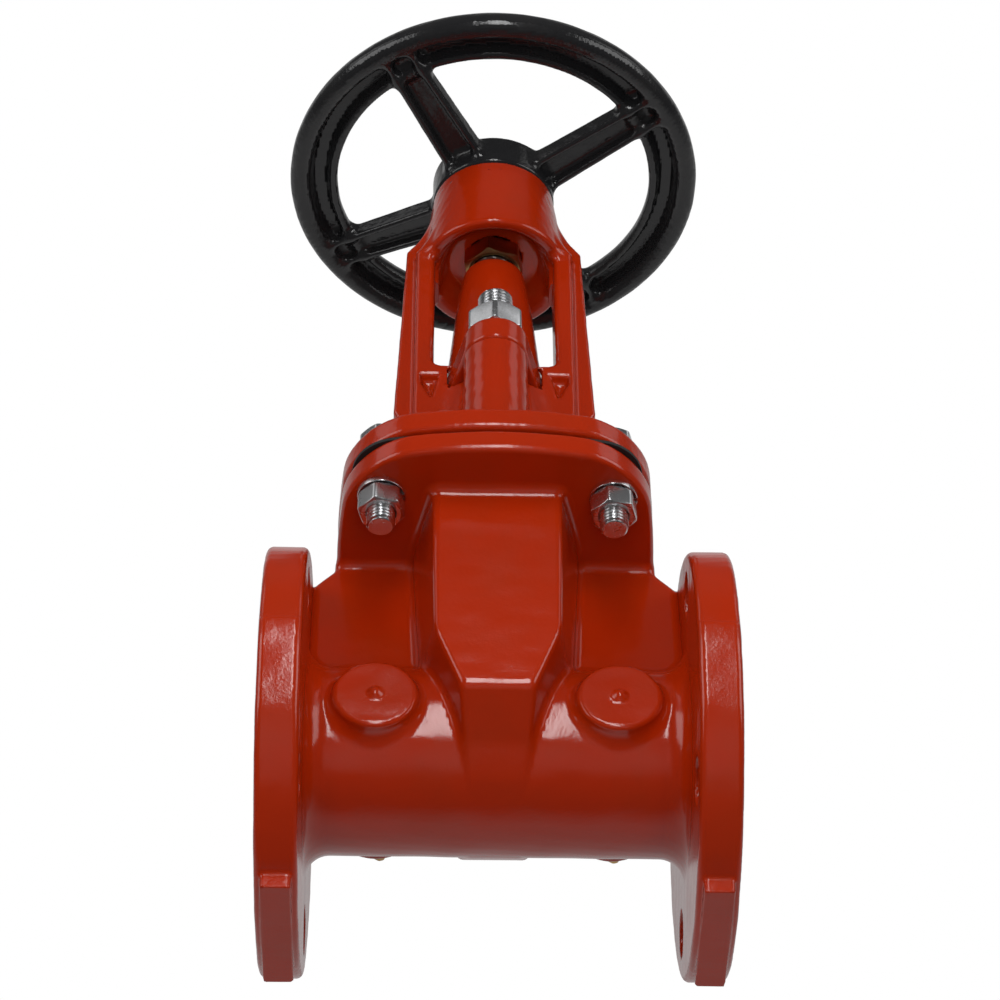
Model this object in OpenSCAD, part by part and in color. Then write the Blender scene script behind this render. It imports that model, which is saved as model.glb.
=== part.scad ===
// Outside screw and yoke gate valve with flanged ends, standing on the foot pads of its end flanges.
// The bore runs along X, the stem stands along Z, and -Y is the front.

/* [Pipe ends] */
// Length from one flange face to the other
face_to_face = 190.5; // [180:0.5:230]
// Outside diameter of an end flange
end_flange_d = 177.8; // [170:0.1:190]
// Thickness of an end flange
end_flange_t = 17.5; // [14:0.5:22]
// Diameter of the bore
bore_d = 63.5; // [56:0.5:65]
// Diameter of the circle of flange bolts
bolt_circle_d = 139.7; // [132:0.1:146]
// Number of bolt holes in an end flange
bolt_hole_count = 4; // [4:4:8]
// Diameter of a flange bolt hole
bolt_hole_d = 19.05; // [16:0.05:22]
// Width of the flat foot pad under an end flange
foot_w = 62; // [50:1:80]
// How far the foot pad reaches below the flange rim
foot_drop = 1.1; // [0.6:0.1:5]
// Radius of the rounded rim edges
rim_edge_r = 2.5; // [1:0.5:4]

/* [Barrel and bosses] */
// Outside diameter of the barrel
barrel_d = 77.6; // [76:0.1:84]
// Radius of the fillet between barrel and flange
barrel_fillet_r = 10; // [4:1:14]
// Diameter of a tapping boss
boss_d = 35; // [28:1:38]
// Distance of a boss from the middle of the valve
boss_x = 49.5; // [46:0.5:54]
// Distance of a boss face from the bore axis
boss_reach = 43.4; // [41:0.1:46]
// Diameter of the centre mark on a blank boss
boss_nub_d = 6; // [3:0.5:10]
// Height of the centre mark
boss_nub_h = 1; // [0.5:0.1:2]

/* [Boss plugs] */
// Diameter of the plug's screwed shank
plug_shank_d = 19; // [14:0.5:22]
// Diameter of the plug's collar
plug_collar_d = 25; // [23:0.5:30]
// Thickness of the plug's collar
plug_collar_t = 3; // [2:0.5:6]
// Side of the plug's square head
plug_square = 15; // [12:0.5:17]
// Height of the plug's square head above the collar
plug_square_h = 8; // [6:0.5:16]
// Length of the shank inside the barrel's wall
plug_root = 4; // [2:0.5:6]
// Turn of the square heads about their axis
plug_turn = 30; // [0:1:89]

/* [Wedge housing] */
// Depth from the front panel to the rear panel
housing_depth = 113.4; // [108:0.2:120]
// Width of a panel at its top
panel_top_w = 54; // [50:1:60]
// Width of a panel where it starts to narrow
panel_mid_w = 52.8; // [48:0.2:60]
// Height of that place above the bore axis
panel_mid_h = 23.4; // [16:0.2:30]
// Width of a panel at its foot
panel_foot_w = 30; // [24:1:36]
// Height of the panel foot below the bore axis
panel_foot_drop = 6; // [2:0.5:12]
// Width of the chin below the panel, where it meets the barrel
chin_w = 25; // [16:1:28]
// Height of the chin's foot above the barrel's underside
chin_h = 7; // [3:0.5:9]
// Depth of the middle block of the housing
housing_core_depth = 40; // [30:1:50]
// Width of the middle block of the housing
housing_core_w = 73.6; // [66:0.2:80]
// Width of the middle block where it meets the barrel
housing_root_w = 66; // [60:1:72]
// Depth of that place below the barrel's top
housing_root_drop = 8; // [4:1:14]

/* [Shoulder web] */
// Thickness of the web under the top flange
web_top_t = 18; // [14:1:24]
// Thickness of the web at the barrel
web_foot_t = 46; // [36:1:54]
// Drop of the web's top edge at the end flange
web_end_drop = 14; // [8:1:20]
// How far the web's flat top stands back from the top flange's side
web_shoulder_in = 2; // [1:0.5:10]

/* [Top flange] */
// Height of the top flange's underside above the bore axis
top_flange_h = 103; // [98:0.5:110]
// Thickness of the top flange of the body
top_flange_t = 12; // [9:0.5:15]
// Width of the top flange along the bore
top_flange_w = 137.5; // [132:0.5:144]
// Length of the top flange from front to rear
top_flange_l = 162; // [156:1:170]
// Corner radius of the top flange
top_corner_r = 24; // [18:1:30]
// Bulge of each side of the top flange
top_side_bow = 4; // [2:0.5:6]
// Thickness of the gasket
gasket_t = 1.5; // [1:0.1:3]
// How far the gasket stands back from the flange edge
gasket_inset = 3; // [1.5:0.5:5]

/* [Bonnet bolts] */
// Distance of a bonnet bolt from the top flange's left or right side
bonnet_bolt_in_x = 19.75; // [14:0.25:30]
// Distance of a bonnet bolt from the top flange's front or rear side
bonnet_bolt_in_y = 27; // [20:0.5:36]
// Diameter of a bonnet bolt
bonnet_bolt_d = 12; // [10:1:14]
// Radial clearance of a bonnet bolt in its hole
bonnet_bolt_gap = 0.75; // [0.4:0.05:1.5]
// Width across flats of the bolt heads and nuts
bonnet_hex_af = 18; // [16:0.5:21]
// Height of a bolt head
bonnet_head_h = 7.5; // [6:0.5:10]
// Height of a nut
bonnet_nut_h = 10; // [8:0.5:12]
// Outside diameter of a spring lock washer
washer_d = 20.5; // [18:0.5:24]
// Thickness of a spring lock washer
washer_t = 2.6; // [1.5:0.1:3.5]
// Width of the cut in a spring lock washer
washer_cut_w = 1.6; // [0.8:0.1:3]
// Tilt of that cut
washer_cut_tilt = 25; // [0:1:35]
// Radial clearance of a lock washer on its bolt
washer_gap = 0.2; // [0.1:0.05:0.5]
// Turn of the bolt heads and nuts
bonnet_hex_turn = 15; // [0:1:59]
// Thread that shows below a nut
bonnet_thread_out = 7.5; // [3:0.5:12]

/* [Bonnet] */
// Thickness of the bonnet flange
bonnet_flange_t = 12; // [10:0.5:15]
// Width of the dome over the raised wedge
dome_w = 62; // [58:1:80]
// Depth of the dome over the raised wedge
dome_depth = 104; // [96:1:112]
// Height of the dome above the bonnet flange
dome_h = 14; // [10:1:20]
// Share of the dome's width and depth that its flat crown takes
dome_crown = 0.8; // [0.6:0.05:0.9]
// Diameter of the neck where it leaves the dome
neck_foot_d = 76; // [66:1:84]
// Diameter of the neck under the gland
neck_top_d = 48; // [44:1:54]
// Height of the neck and lugs above the bonnet flange
neck_h = 81.5; // [76:0.5:90]
// Diameter of a gland lug
lug_d = 29; // [27:0.5:32]
// Distance of a gland bolt from the stem axis
lug_y = 32; // [31:0.5:34]
// Diameter of the stuffing box
stuffing_d = 36; // [32:0.5:38]
// Depth of the stuffing box
stuffing_depth = 26; // [20:1:34]

/* [Yoke] */
// Distance from one yoke leg's inner face to the other's
yoke_gap = 56; // [52:1:62]
// Width of the thick inner bar of a leg
leg_bar_w = 9; // [7:0.5:11]
// Depth of the thick inner bar, from front to rear
leg_bar_depth = 28; // [22:1:34]
// Depth of the thin outer wing, from front to rear
wing_depth = 14; // [10:1:18]
// Width over the wings at their foot
wing_foot_w = 92; // [86:0.5:96]
// Width over the wings at their top
wing_top_w = 83; // [78:0.5:86]
// Height of the wings' foot above the bonnet flange
wing_foot_h = 68; // [60:1:74]
// Radius of the wings' lower corners
wing_corner_r = 6; // [3:1:9]
// Height of the wings' upper corners above the hub's underside
wing_top_h = 9.4; // [0:0.2:12]
// Width of the bevel above those corners
wing_bevel_w = 6.2; // [3:0.2:8]
// Height of that bevel
wing_bevel_h = 9; // [6:0.5:14]
// Height of a leg's inner bar at its outer side, above the hub's underside
leg_bar_top_h = 2; // [0:0.5:8]
// Height of the wings' ends on the hub, above its underside
wing_end_h = 28; // [20:1:34]
// Height of the window's sill above the gland seat
sill_h = 17; // [16:1:26]
// Height of the hub's underside above the gland seat
hub_h = 93; // [90:1:100]
// Length of the yoke hub
hub_l = 50; // [40:1:60]
// Diameter of the hub at its lower end
hub_foot_d = 69; // [64:1:74]
// Diameter of the hub at its upper end
hub_top_d = 59; // [54:1:62]
// Depth of the hollow under the hub
hub_dish = 13; // [8:1:16]
// Diameter of the flat face inside that hollow
hub_face_d = 41.6; // [38:0.2:46]
// Width of the lip around the hollow
hub_lip_w = 6; // [4:0.5:8]
// Rounding of that lip
hub_lip_r = 2.5; // [1:0.5:2.5]
// Width of the machined band at the hub's upper end
hub_band_h = 6; // [3:1:9]
// Step of that band
hub_band_step = 0.5; // [0.3:0.1:1]
// Depth of the pockets in the web below the window
pocket_depth = 8; // [4:1:10]
// Height of a pocket
pocket_h = 15; // [12:1:22]
// Depth of a pocket's top below the window's sill
pocket_drop = 7; // [4:0.5:10]
// Height of a pocket's straight outer side
pocket_side_h = 5; // [3:0.5:8]
// Width of a pocket's blunt point
pocket_tip_w = 2; // [1:0.5:4]
// Thickness left between a pocket and the leg's outer face
pocket_wall = 3; // [2:0.5:5]

/* [Gland] */
// Thickness of the gland plate
gland_plate_t = 14; // [10:0.5:18]
// Diameter of the gland tower at the plate
tower_foot_d = 45; // [42:1:48]
// How far the plate's middle stands out around the tower
tower_ledge = 0.5; // [0.5:0.5:3]
// Clearance around the gland plate in its seat
gland_seat_gap = 1; // [0.5:0.1:2]
// Diameter of the gland's collar at its lower end
collar_d = 32.4; // [28:0.2:34]
// Diameter of the gland's collar at its upper end
collar_top_d = 30; // [26:0.2:32]
// Height of the tower above the gland plate
tower_h = 76; // [66:0.5:78]
// Height of the collar at the top of the gland
collar_h = 6; // [4:0.5:14]
// Radius of the scoop that clears a gland nut
scoop_r = 15.1; // [14.5:0.1:17]
// Length of the gland's spigot in the stuffing box
spigot_l = 16; // [8:1:22]
// Radial clearance of the spigot in the stuffing box
spigot_gap = 0.25; // [0.1:0.05:0.5]
// Diameter of a gland bolt
gland_bolt_d = 16; // [14:1:18]
// Radial clearance of a gland bolt in the gland plate
gland_bolt_gap = 0.6; // [0.3:0.1:1]
// Length of a gland bolt above the nut
gland_bolt_out = 13.6; // [8:0.2:18]
// Length of a gland bolt in its lug
gland_bolt_in = 24; // [18:1:30]
// Width across flats of a gland nut
gland_hex_af = 24; // [22:0.5:26]
// Height of a gland nut
gland_nut_h = 13; // [10:0.5:16]
// Turn of the gland nuts
gland_hex_turn = 27; // [0:1:59]

/* [Stem and wedge] */
// Diameter of the stem
stem_d = 20; // [18:0.5:21]
// Lift of the wedge from closed to open
travel = 68; // [66:1:72]
// Running clearance around the stem
stem_gap = 0.3; // [0.2:0.05:0.4]
// How far the closed stem stands above the wheel nut
stem_proud = 3; // [0:0.5:8]
// Diameter of the collar at the stem's foot
stem_head_d = 29; // [26:0.5:30]
// Height of the collar at the stem's foot
stem_head_h = 8; // [6:0.5:10]
// Thickness of the wedge
wedge_t = 37; // [32:0.5:38]
// Width of the wedge across its guides
wedge_w = 99; // [80:1:102]
// Height of the wedge's guides above the bore axis
wedge_h = 46; // [40:1:50]
// Height of the wedge's stem boss above its guides
wedge_boss_h = 14; // [12:1:16]
// Side of the wedge's stem boss
wedge_boss_w = 33; // [33:0.5:36]
// Clearance around the wedge in the body
wedge_gap = 0.5; // [0.3:0.05:1]
// Height above the bore axis where the wedge's guides begin
guide_foot_h = 12; // [8:1:16]
// Depth of the stem collar's slot below the top of the guides
slot_drop = 2; // [1:0.5:4]
// Room above the raised wedge
headroom = 4; // [2:0.5:6]
// How far the wedge's seat is larger than the bore
wedge_seat_margin = 1.4; // [1:0.1:2]

/* [Yoke nut] */
// Width across flats of the yoke nut
yoke_hex_af = 26; // [25:0.5:28]
// Height of the yoke nut's hexagon
yoke_hex_h = 10; // [8:0.5:16]
// Turn of the hexagon about the stem
yoke_hex_turn = 19; // [0:1:59]
// Diameter of the yoke nut's shank
yoke_shank_d = 25.6; // [24:0.1:26]
// Radial clearance of the shank in the yoke hub
yoke_shank_gap = 0.08; // [0.02:0.01:0.1]
// Clearance between handwheel and yoke hub
wheel_gap = 0.3; // [0.2:0.1:1]
// Width across the two driving flats of the shank
drive_flats = 23.8; // [23.4:0.1:24.6]

/* [Handwheel] */
// Outside diameter of the handwheel
wheel_d = 199.2; // [190:0.2:230]
// Width of the rim
rim_w = 23.4; // [20:0.2:28]
// Height of the rim
rim_h = 18.5; // [16:0.5:24]
// Height of the rim's lowest line above the wheel hub's underside
rim_lift = 14.2; // [6:0.2:18]
// Width of the rounded outer bead of the rim
rim_bead_w = 10.4; // [8:0.2:12]
// Width of the inner lip of the rim
rim_lip_w = 4.6; // [3:0.2:6]
// Thickness of the rim between bead and lip
rim_web_t = 9; // [6:0.5:12]
// Slope of the rim's inner faces, as their width at the web
rim_draft = 1.5; // [0.5:0.5:3]
// Diameter of the wheel hub
wheel_hub_d = 59; // [54:1:64]
// Height of the wheel hub
wheel_hub_h = 19; // [16:1:24]
// Rounding of the wheel hub's edges
wheel_hub_r = 2; // [1:0.5:3]
// Number of spokes
spoke_count = 4; // [3:1:6]
// Turn of the first spoke from the bore
spoke_turn = 58.5; // [0:0.5:90]
// Width of a spoke
spoke_w = 19; // [16:0.5:26]
// Height of a spoke
spoke_h = 10; // [9:0.5:16]
// Width of the rib along each edge of a spoke
spoke_rib_w = 4.2; // [3:0.2:6]
// Thickness of a spoke between its ribs
spoke_web_t = 4.5; // [4:0.5:8]
// Width of the bevel along a spoke's upper edges
spoke_bevel = 2.5; // [1.5:0.5:5]
// Slope of the ribs' inner faces, as their width at the web
spoke_draft = 1; // [0.5:0.5:2]
// How far a spoke runs into the wheel hub
spoke_root = 6; // [3:0.5:10]
// How far a spoke's upper face ends above the underside of the rim's web
spoke_end_lift = 1; // [0:0.5:6]
// Width across flats of the wheel nut
wheel_nut_af = 36; // [34:0.5:41]
// Height of the wheel nut
wheel_nut_h = 10; // [8:0.5:14]
// Turn of the wheel nut
wheel_nut_turn = 10; // [0:1:59]

/* [Hidden] */
$fn = 72;
hull_fn = 32;
cut = 1;             // how far a cut runs past the face that it opens
PLACES = ["front_left", "front_right", "rear_left", "rear_right"];
GLAND_PLACES = ["front", "rear"];
PLUG_PLACES = ["left", "right"];

RED = [0.60, 0.13, 0.04];
BLACK = [0.04, 0.04, 0.045];
ZINC = [0.72, 0.74, 0.76];
BRASS = [0.66, 0.50, 0.22];
RUBBER = [0.07, 0.07, 0.07];
STEEL = [0.62, 0.62, 0.60];

// Heights, all above the feet
axis_z = end_flange_d / 2 + foot_drop;
top_flange_z = axis_z + top_flange_h;
gasket_z = top_flange_z + top_flange_t;
bonnet_z = gasket_z + gasket_t;
bonnet_top_z = bonnet_z + bonnet_flange_t;
gland_z = bonnet_top_z + neck_h;
gland_top_z = gland_z + gland_plate_t;
tower_top_z = gland_top_z + tower_h;
sill_z = gland_z + sill_h;
wing_foot_z = bonnet_top_z + wing_foot_h;
hub_z = gland_z + hub_h;
hub_top_z = hub_z + hub_l;
wheel_z = hub_top_z + wheel_gap;
wheel_top_z = wheel_z + wheel_hub_h;
wheel_nut_top_z = wheel_top_z + wheel_nut_h;
yoke_hex_top_z = hub_z + hub_dish;
stem_top_z = wheel_nut_top_z + stem_proud;
stem_foot_z = axis_z + wedge_h - slot_drop;

// Bonnet bolts, from the stem axis
bonnet_bolt_x = top_flange_w / 2 - bonnet_bolt_in_x;
bonnet_bolt_y = top_flange_l / 2 - bonnet_bolt_in_y;

// Wedge chamber
wedge_seat_r = bore_d / 2 + wedge_seat_margin;
chamber_w = wedge_w + 2 * wedge_gap;
chamber_t = wedge_t + 2 * wedge_gap;
boss_room_w = wedge_boss_w + 2 * wedge_gap;
guide_room_z = max(axis_z + wedge_h + travel, bonnet_z) + headroom;
boss_room_z = axis_z + wedge_h + wedge_boss_h + travel + headroom;
stem_hole_d = stem_d + 2 * stem_gap;
thread_gap = 0.1;    // on the diameter, between a bolt and the thread that it screws into
running_gap = 0.1;   // between faces that turn on each other
bolt_chamfer = 1;
hex_ease = 0.1;      // how far the chamfering cone starts outside a hexagon's corners
hex_face_share = 0.95;   // diameter of the round face inside the chamfer, as a share of the width across flats

module bowed_strip(reach, span) {
    // Strip of half length reach, whose ends bulge over the half width span
    r = (pow(span, 2) + pow(top_side_bow, 2)) / (2 * top_side_bow);
    intersection() {
        square([2 * reach, 2 * span], center = true);
        translate([reach - r, 0]) circle(r = r, $fn = 360);
        translate([r - reach, 0]) circle(r = r, $fn = 360);
    }
}

module flange_plan(inset = 0) {
    // Rounded rectangle whose four sides bulge a little, as one convex outline
    half_w = top_flange_w / 2 - inset;
    half_l = top_flange_l / 2 - inset;
    corner_r = top_corner_r - inset;
    corner_x = half_w - top_side_bow - corner_r;
    corner_y = half_l - top_side_bow - corner_r;
    hull() {
        for (x = [-1, 1], y = [-1, 1]) {
            translate([x * corner_x, y * corner_y]) circle(r = corner_r, $fn = 2 * hull_fn);
        }
        bowed_strip(half_w, corner_y);
        rotate(90) bowed_strip(half_l, corner_x);
    }
}

module along_x(length) {
    // Extrudes an outline drawn in Y and Z along the bore, centred on the stem axis
    rotate([90, 0, 90]) linear_extrude(length, center = true) children();
}

module along_y(length) {
    // Extrudes an outline drawn in X and Z from front to rear, centred on the stem axis
    rotate([90, 0, 0]) linear_extrude(length, center = true) children();
}

module hexagon(af, h) {
    cylinder(d = af / cos(30), h = h, $fn = 6);
}

module hex_block(af, h, turn = 0) {
    // Hexagon with both ends chamfered by a cone
    corner_d = af / cos(30) + 2 * hex_ease;
    face_d = hex_face_share * af;
    chamfer_h = (corner_d - face_d) / 2 * tan(30);
    intersection() {
        rotate(turn) hexagon(af, h);
        rotate_extrude()
            polygon([
                [0, 0], [face_d / 2, 0], [corner_d / 2, chamfer_h],
                [corner_d / 2, h - chamfer_h], [face_d / 2, h], [0, h]
            ]);
    }
}

module nut(af, h, bolt_d, turn = 0) {
    difference() {
        hex_block(af, h, turn);
        translate([0, 0, -cut]) cylinder(d = bolt_d + thread_gap, h = h + 2 * cut);
    }
}

module at_bonnet_bolt(place) {
    x = (place == "front_left" || place == "rear_left") ? -bonnet_bolt_x : bonnet_bolt_x;
    y = (place == "front_left" || place == "front_right") ? -bonnet_bolt_y : bonnet_bolt_y;
    translate([x, y, 0]) children();
}

module at_gland_bolt(place) {
    translate([0, place == "front" ? -lug_y : lug_y, 0]) children();
}

// ---- valve body ----

module end_flange() {
    // One end flange with rounded rim edges, from the barrel's end outwards along +X
    inner_x = face_to_face / 2 - end_flange_t;
    flange_r = end_flange_d / 2;
    translate([inner_x, 0, 0]) rotate([0, 90, 0]) rotate_extrude() polygon([
        [0, 0], [flange_r - rim_edge_r, 0], [flange_r, rim_edge_r],
        [flange_r, end_flange_t - rim_edge_r], [flange_r - rim_edge_r, end_flange_t], [0, end_flange_t]
    ]);
    translate([inner_x + rim_edge_r, -foot_w / 2, -axis_z])
        cube([end_flange_t - 2 * rim_edge_r, foot_w, flange_r / 3]);
}

module barrel_half() {
    // Barrel from the middle to the end flange, flaring into it by a round fillet
    inner_x = face_to_face / 2 - end_flange_t;
    r = barrel_d / 2;
    rotate([0, 90, 0]) cylinder(r = r, h = inner_x + cut);
    translate([inner_x - barrel_fillet_r, 0, 0]) rotate([0, 90, 0]) rotate_extrude() difference() {
        square([r + barrel_fillet_r, barrel_fillet_r + cut]);
        translate([r + barrel_fillet_r, 0]) circle(r = barrel_fillet_r);
    }
}

module housing_front() {
    // Flat front panel that narrows to its foot, its flaring sides and the chin under it
    core_y = -housing_core_depth / 2;
    root_z = barrel_d / 2 - housing_root_drop;
    chin_z = chin_h - barrel_d / 2;
    hull() {
        translate([0, -housing_depth / 2 + cut / 2, 0]) along_y(cut) polygon([
            [-panel_top_w / 2, top_flange_h + cut], [panel_top_w / 2, top_flange_h + cut],
            [panel_mid_w / 2, panel_mid_h], [panel_foot_w / 2, -panel_foot_drop],
            [-panel_foot_w / 2, -panel_foot_drop], [-panel_mid_w / 2, panel_mid_h]
        ]);
        translate([0, core_y - cut / 2, 0]) along_y(cut) polygon([
            [-housing_core_w / 2, top_flange_h + cut], [housing_core_w / 2, top_flange_h + cut],
            [housing_root_w / 2, root_z], [chin_w / 2, chin_z],
            [-chin_w / 2, chin_z], [-housing_root_w / 2, root_z]
        ]);
    }
}

module housing_core() {
    translate([-housing_core_w / 2, -housing_core_depth / 2 - cut / 2, 0])
        cube([housing_core_w, housing_core_depth + cut, top_flange_h + cut]);
}

module shoulder_web() {
    // Web along the bore from the housing to the end flanges, thinner at its top
    inner_x = face_to_face / 2 - end_flange_t;
    flat_x = top_flange_w / 2 - web_shoulder_in;
    intersection() {
        along_x(2 * inner_x + 2 * cut) polygon([
            [-web_foot_t / 2, 0], [web_foot_t / 2, 0], [web_top_t / 2, top_flange_h + cut],
            [-web_top_t / 2, top_flange_h + cut]
        ]);
        along_y(2 * web_foot_t) polygon([
            [-inner_x - cut, 0], [inner_x + cut, 0], [inner_x + cut, top_flange_h - web_end_drop],
            [flat_x, top_flange_h + cut], [-flat_x, top_flange_h + cut],
            [-inner_x - cut, top_flange_h - web_end_drop]
        ]);
    }
}

module tapping_bosses(side) {
    // Front and rear boss on one axis, the front one blank with a centre mark
    translate([side * boss_x, 0, 0]) rotate([90, 0, 0]) {
        cylinder(d = boss_d, h = 2 * boss_reach, center = true);
        translate([0, 0, boss_reach]) cylinder(d1 = boss_nub_d, d2 = boss_nub_d / 2, h = boss_nub_h);
    }
}

module wedge_outline(gap) {
    // Round seat below, guides to each side above; gap grows it all round
    r = wedge_seat_r + gap;
    guide = wedge_w / 2 + gap;
    circle(r = r);
    polygon([
        [-guide, wedge_h], [-guide, guide_foot_h - gap], [-r, guide_foot_h - gap - (guide - r)],
        [r, guide_foot_h - gap - (guide - r)], [guide, guide_foot_h - gap], [guide, wedge_h]
    ]);
}

module valve_body() {
    color(RED) translate([0, 0, axis_z]) difference() {
        union() {
            for (side = [0, 180]) rotate(side) {
                end_flange();
                barrel_half();
                housing_front();
            }
            housing_core();
            shoulder_web();
            for (side = [-1, 1]) tapping_bosses(side);
            translate([0, 0, top_flange_h]) linear_extrude(top_flange_t) flange_plan();
        }
        rotate([0, 90, 0]) cylinder(d = bore_d, h = face_to_face + 2 * cut, center = true);
        along_x(chamber_t) wedge_outline(wedge_gap);
        translate([-chamber_t / 2, -chamber_w / 2, guide_foot_h])
            cube([chamber_t, chamber_w, top_flange_h + top_flange_t]);
        for (side = [0, 180], i = [0:bolt_hole_count - 1]) {
            rotate(side) rotate([(i + 0.5) * 360 / bolt_hole_count, 0, 0])
                translate([face_to_face / 2 - end_flange_t - cut, 0, bolt_circle_d / 2])
                rotate([0, 90, 0]) cylinder(d = bolt_hole_d, h = end_flange_t + 2 * cut);
        }
        for (place = PLACES) at_bonnet_bolt(place) translate([0, 0, top_flange_h - cut])
            cylinder(r = bonnet_bolt_d / 2 + bonnet_bolt_gap, h = top_flange_t + 2 * cut);
        for (side = [-1, 1]) translate([side * boss_x, 0, 0]) rotate([-90, 0, 0])
            cylinder(d = plug_shank_d, h = boss_reach + cut);
    }
}

// ---- joint between body and bonnet ----

module bonnet_gasket() {
    color(RUBBER) translate([0, 0, gasket_z]) difference() {
        linear_extrude(gasket_t) flange_plan(gasket_inset);
        translate([-chamber_t / 2, -chamber_w / 2, -cut]) cube([chamber_t, chamber_w, gasket_t + 2 * cut]);
        for (place = PLACES) at_bonnet_bolt(place) translate([0, 0, -cut])
            cylinder(r = bonnet_bolt_d / 2 + bonnet_bolt_gap, h = gasket_t + 2 * cut);
    }
}

module bonnet_bolt(place) {
    // Hexagon head on the bonnet flange, shank down through both flanges, thread end below the nut
    grip = bonnet_top_z - top_flange_z + washer_t + bonnet_nut_h + bonnet_thread_out;
    color(ZINC) at_bonnet_bolt(place) translate([0, 0, bonnet_top_z]) {
        hex_block(bonnet_hex_af, bonnet_head_h, bonnet_hex_turn);
        mirror([0, 0, 1]) {
            translate([0, 0, -cut]) cylinder(d = bonnet_bolt_d, h = grip - bolt_chamfer + cut);
            translate([0, 0, grip - bolt_chamfer])
                cylinder(d1 = bonnet_bolt_d, d2 = bonnet_bolt_d - 2 * bolt_chamfer, h = bolt_chamfer);
        }
    }
}

module lock_washer(place) {
    // Square-section ring with a slanted cut
    color(ZINC) at_bonnet_bolt(place) translate([0, 0, top_flange_z - washer_t]) difference() {
        cylinder(d = washer_d, h = washer_t);
        translate([0, 0, -cut]) cylinder(r = bonnet_bolt_d / 2 + washer_gap, h = washer_t + 2 * cut);
        translate([washer_d / 2, 0, washer_t / 2]) rotate([washer_cut_tilt, 0, 0])
            cube([washer_d, washer_cut_w, 4 * washer_t], center = true);
    }
}

module bonnet_nut(place) {
    color(ZINC) at_bonnet_bolt(place) translate([0, 0, top_flange_z - washer_t - bonnet_nut_h])
        nut(bonnet_hex_af, bonnet_nut_h, bonnet_bolt_d, bonnet_hex_turn);
}

// ---- bonnet and yoke, one casting ----

module bonnet_neck() {
    // Dome over the raised wedge, neck up to the gland seat and a lug column for each gland bolt
    hull() {
        translate([0, 0, bonnet_top_z]) linear_extrude(dome_h / 2)
            square([dome_w, dome_depth - dome_w / 2], center = true);
        translate([0, 0, bonnet_top_z]) linear_extrude(dome_h / 2)
            square([dome_w / 2, dome_depth], center = true);
        translate([0, 0, bonnet_top_z + dome_h])
            linear_extrude(cut) square([dome_crown * dome_w, dome_crown * dome_depth], center = true);
    }
    translate([0, 0, bonnet_top_z])
        cylinder(d1 = neck_foot_d, d2 = neck_top_d, h = neck_h);
    for (side = [-1, 1]) translate([0, side * lug_y, bonnet_top_z]) cylinder(d = lug_d, h = neck_h);
    translate([-lug_d / 3, -lug_y, bonnet_top_z]) cube([2 * lug_d / 3, 2 * lug_y, neck_h]);
}

module yoke_leg() {
    // Leg on the +X side: thick inner bar, thin outer wing, and the web that ties its foot to the neck
    inner_x = yoke_gap / 2;
    bar_x = inner_x + leg_bar_w;
    corner_x = wing_foot_w / 2 - wing_corner_r;
    corner_z = wing_foot_z + wing_corner_r;
    along_y(leg_bar_depth) polygon([
        [0, bonnet_top_z + dome_h], [neck_foot_d / 2 - leg_bar_w, bonnet_top_z + dome_h],
        [bar_x, wing_foot_z], [bar_x, hub_z + leg_bar_top_h], [inner_x, hub_z + hub_dish],
        [inner_x, sill_z], [0, sill_z]
    ]);
    along_y(wing_depth) polygon(concat(
        [[inner_x, wing_foot_z]],
        [for (t = [270:15:360]) [corner_x + wing_corner_r * cos(t), corner_z + wing_corner_r * sin(t)]],
        [[wing_top_w / 2, hub_z + wing_top_h], [wing_top_w / 2 - wing_bevel_w, hub_z + wing_top_h + wing_bevel_h],
         [inner_x, hub_z + wing_end_h], [inner_x, hub_z + hub_dish]]
    ));
}

module yoke_hub() {
    // Cone with a dished underside and a machined band at its top
    foot_r = hub_foot_d / 2;
    top_r = hub_top_d / 2;
    rotate_extrude() polygon([
        [0, hub_z + hub_dish], [hub_face_d / 2, hub_z + hub_dish], [foot_r - hub_lip_w, hub_z + hub_lip_r / 2],
        [foot_r - hub_lip_w / 2, hub_z], [foot_r, hub_z + hub_lip_r],
        [top_r + hub_band_step, hub_top_z - hub_band_h], [top_r, hub_top_z - hub_band_h],
        [top_r, hub_top_z - bolt_chamfer], [top_r - bolt_chamfer, hub_top_z], [0, hub_top_z]
    ]);
}

module web_pocket() {
    // Triangular pocket in the web under the window, on the +X side, point down
    inner_x = neck_top_d / 2 + gland_seat_gap;
    outer_x = yoke_gap / 2 + leg_bar_w - pocket_wall;
    top_z = sill_z - pocket_drop;
    tip_x = (inner_x + outer_x) / 2;
    polygon([
        [inner_x, top_z], [outer_x, top_z], [outer_x, top_z - pocket_side_h],
        [tip_x, top_z - pocket_h], [tip_x - pocket_tip_w, top_z - pocket_h]
    ]);
}

module gland_plan(gap = 0) {
    // Round middle with a round lug for each gland bolt, joined by straight sides
    hull() {
        circle(r = tower_foot_d / 2 + tower_ledge + gap, $fn = 2 * hull_fn);
        for (side = [-1, 1]) translate([0, side * lug_y]) circle(d = lug_d + 2 * gap, $fn = 2 * hull_fn);
    }
}

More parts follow.
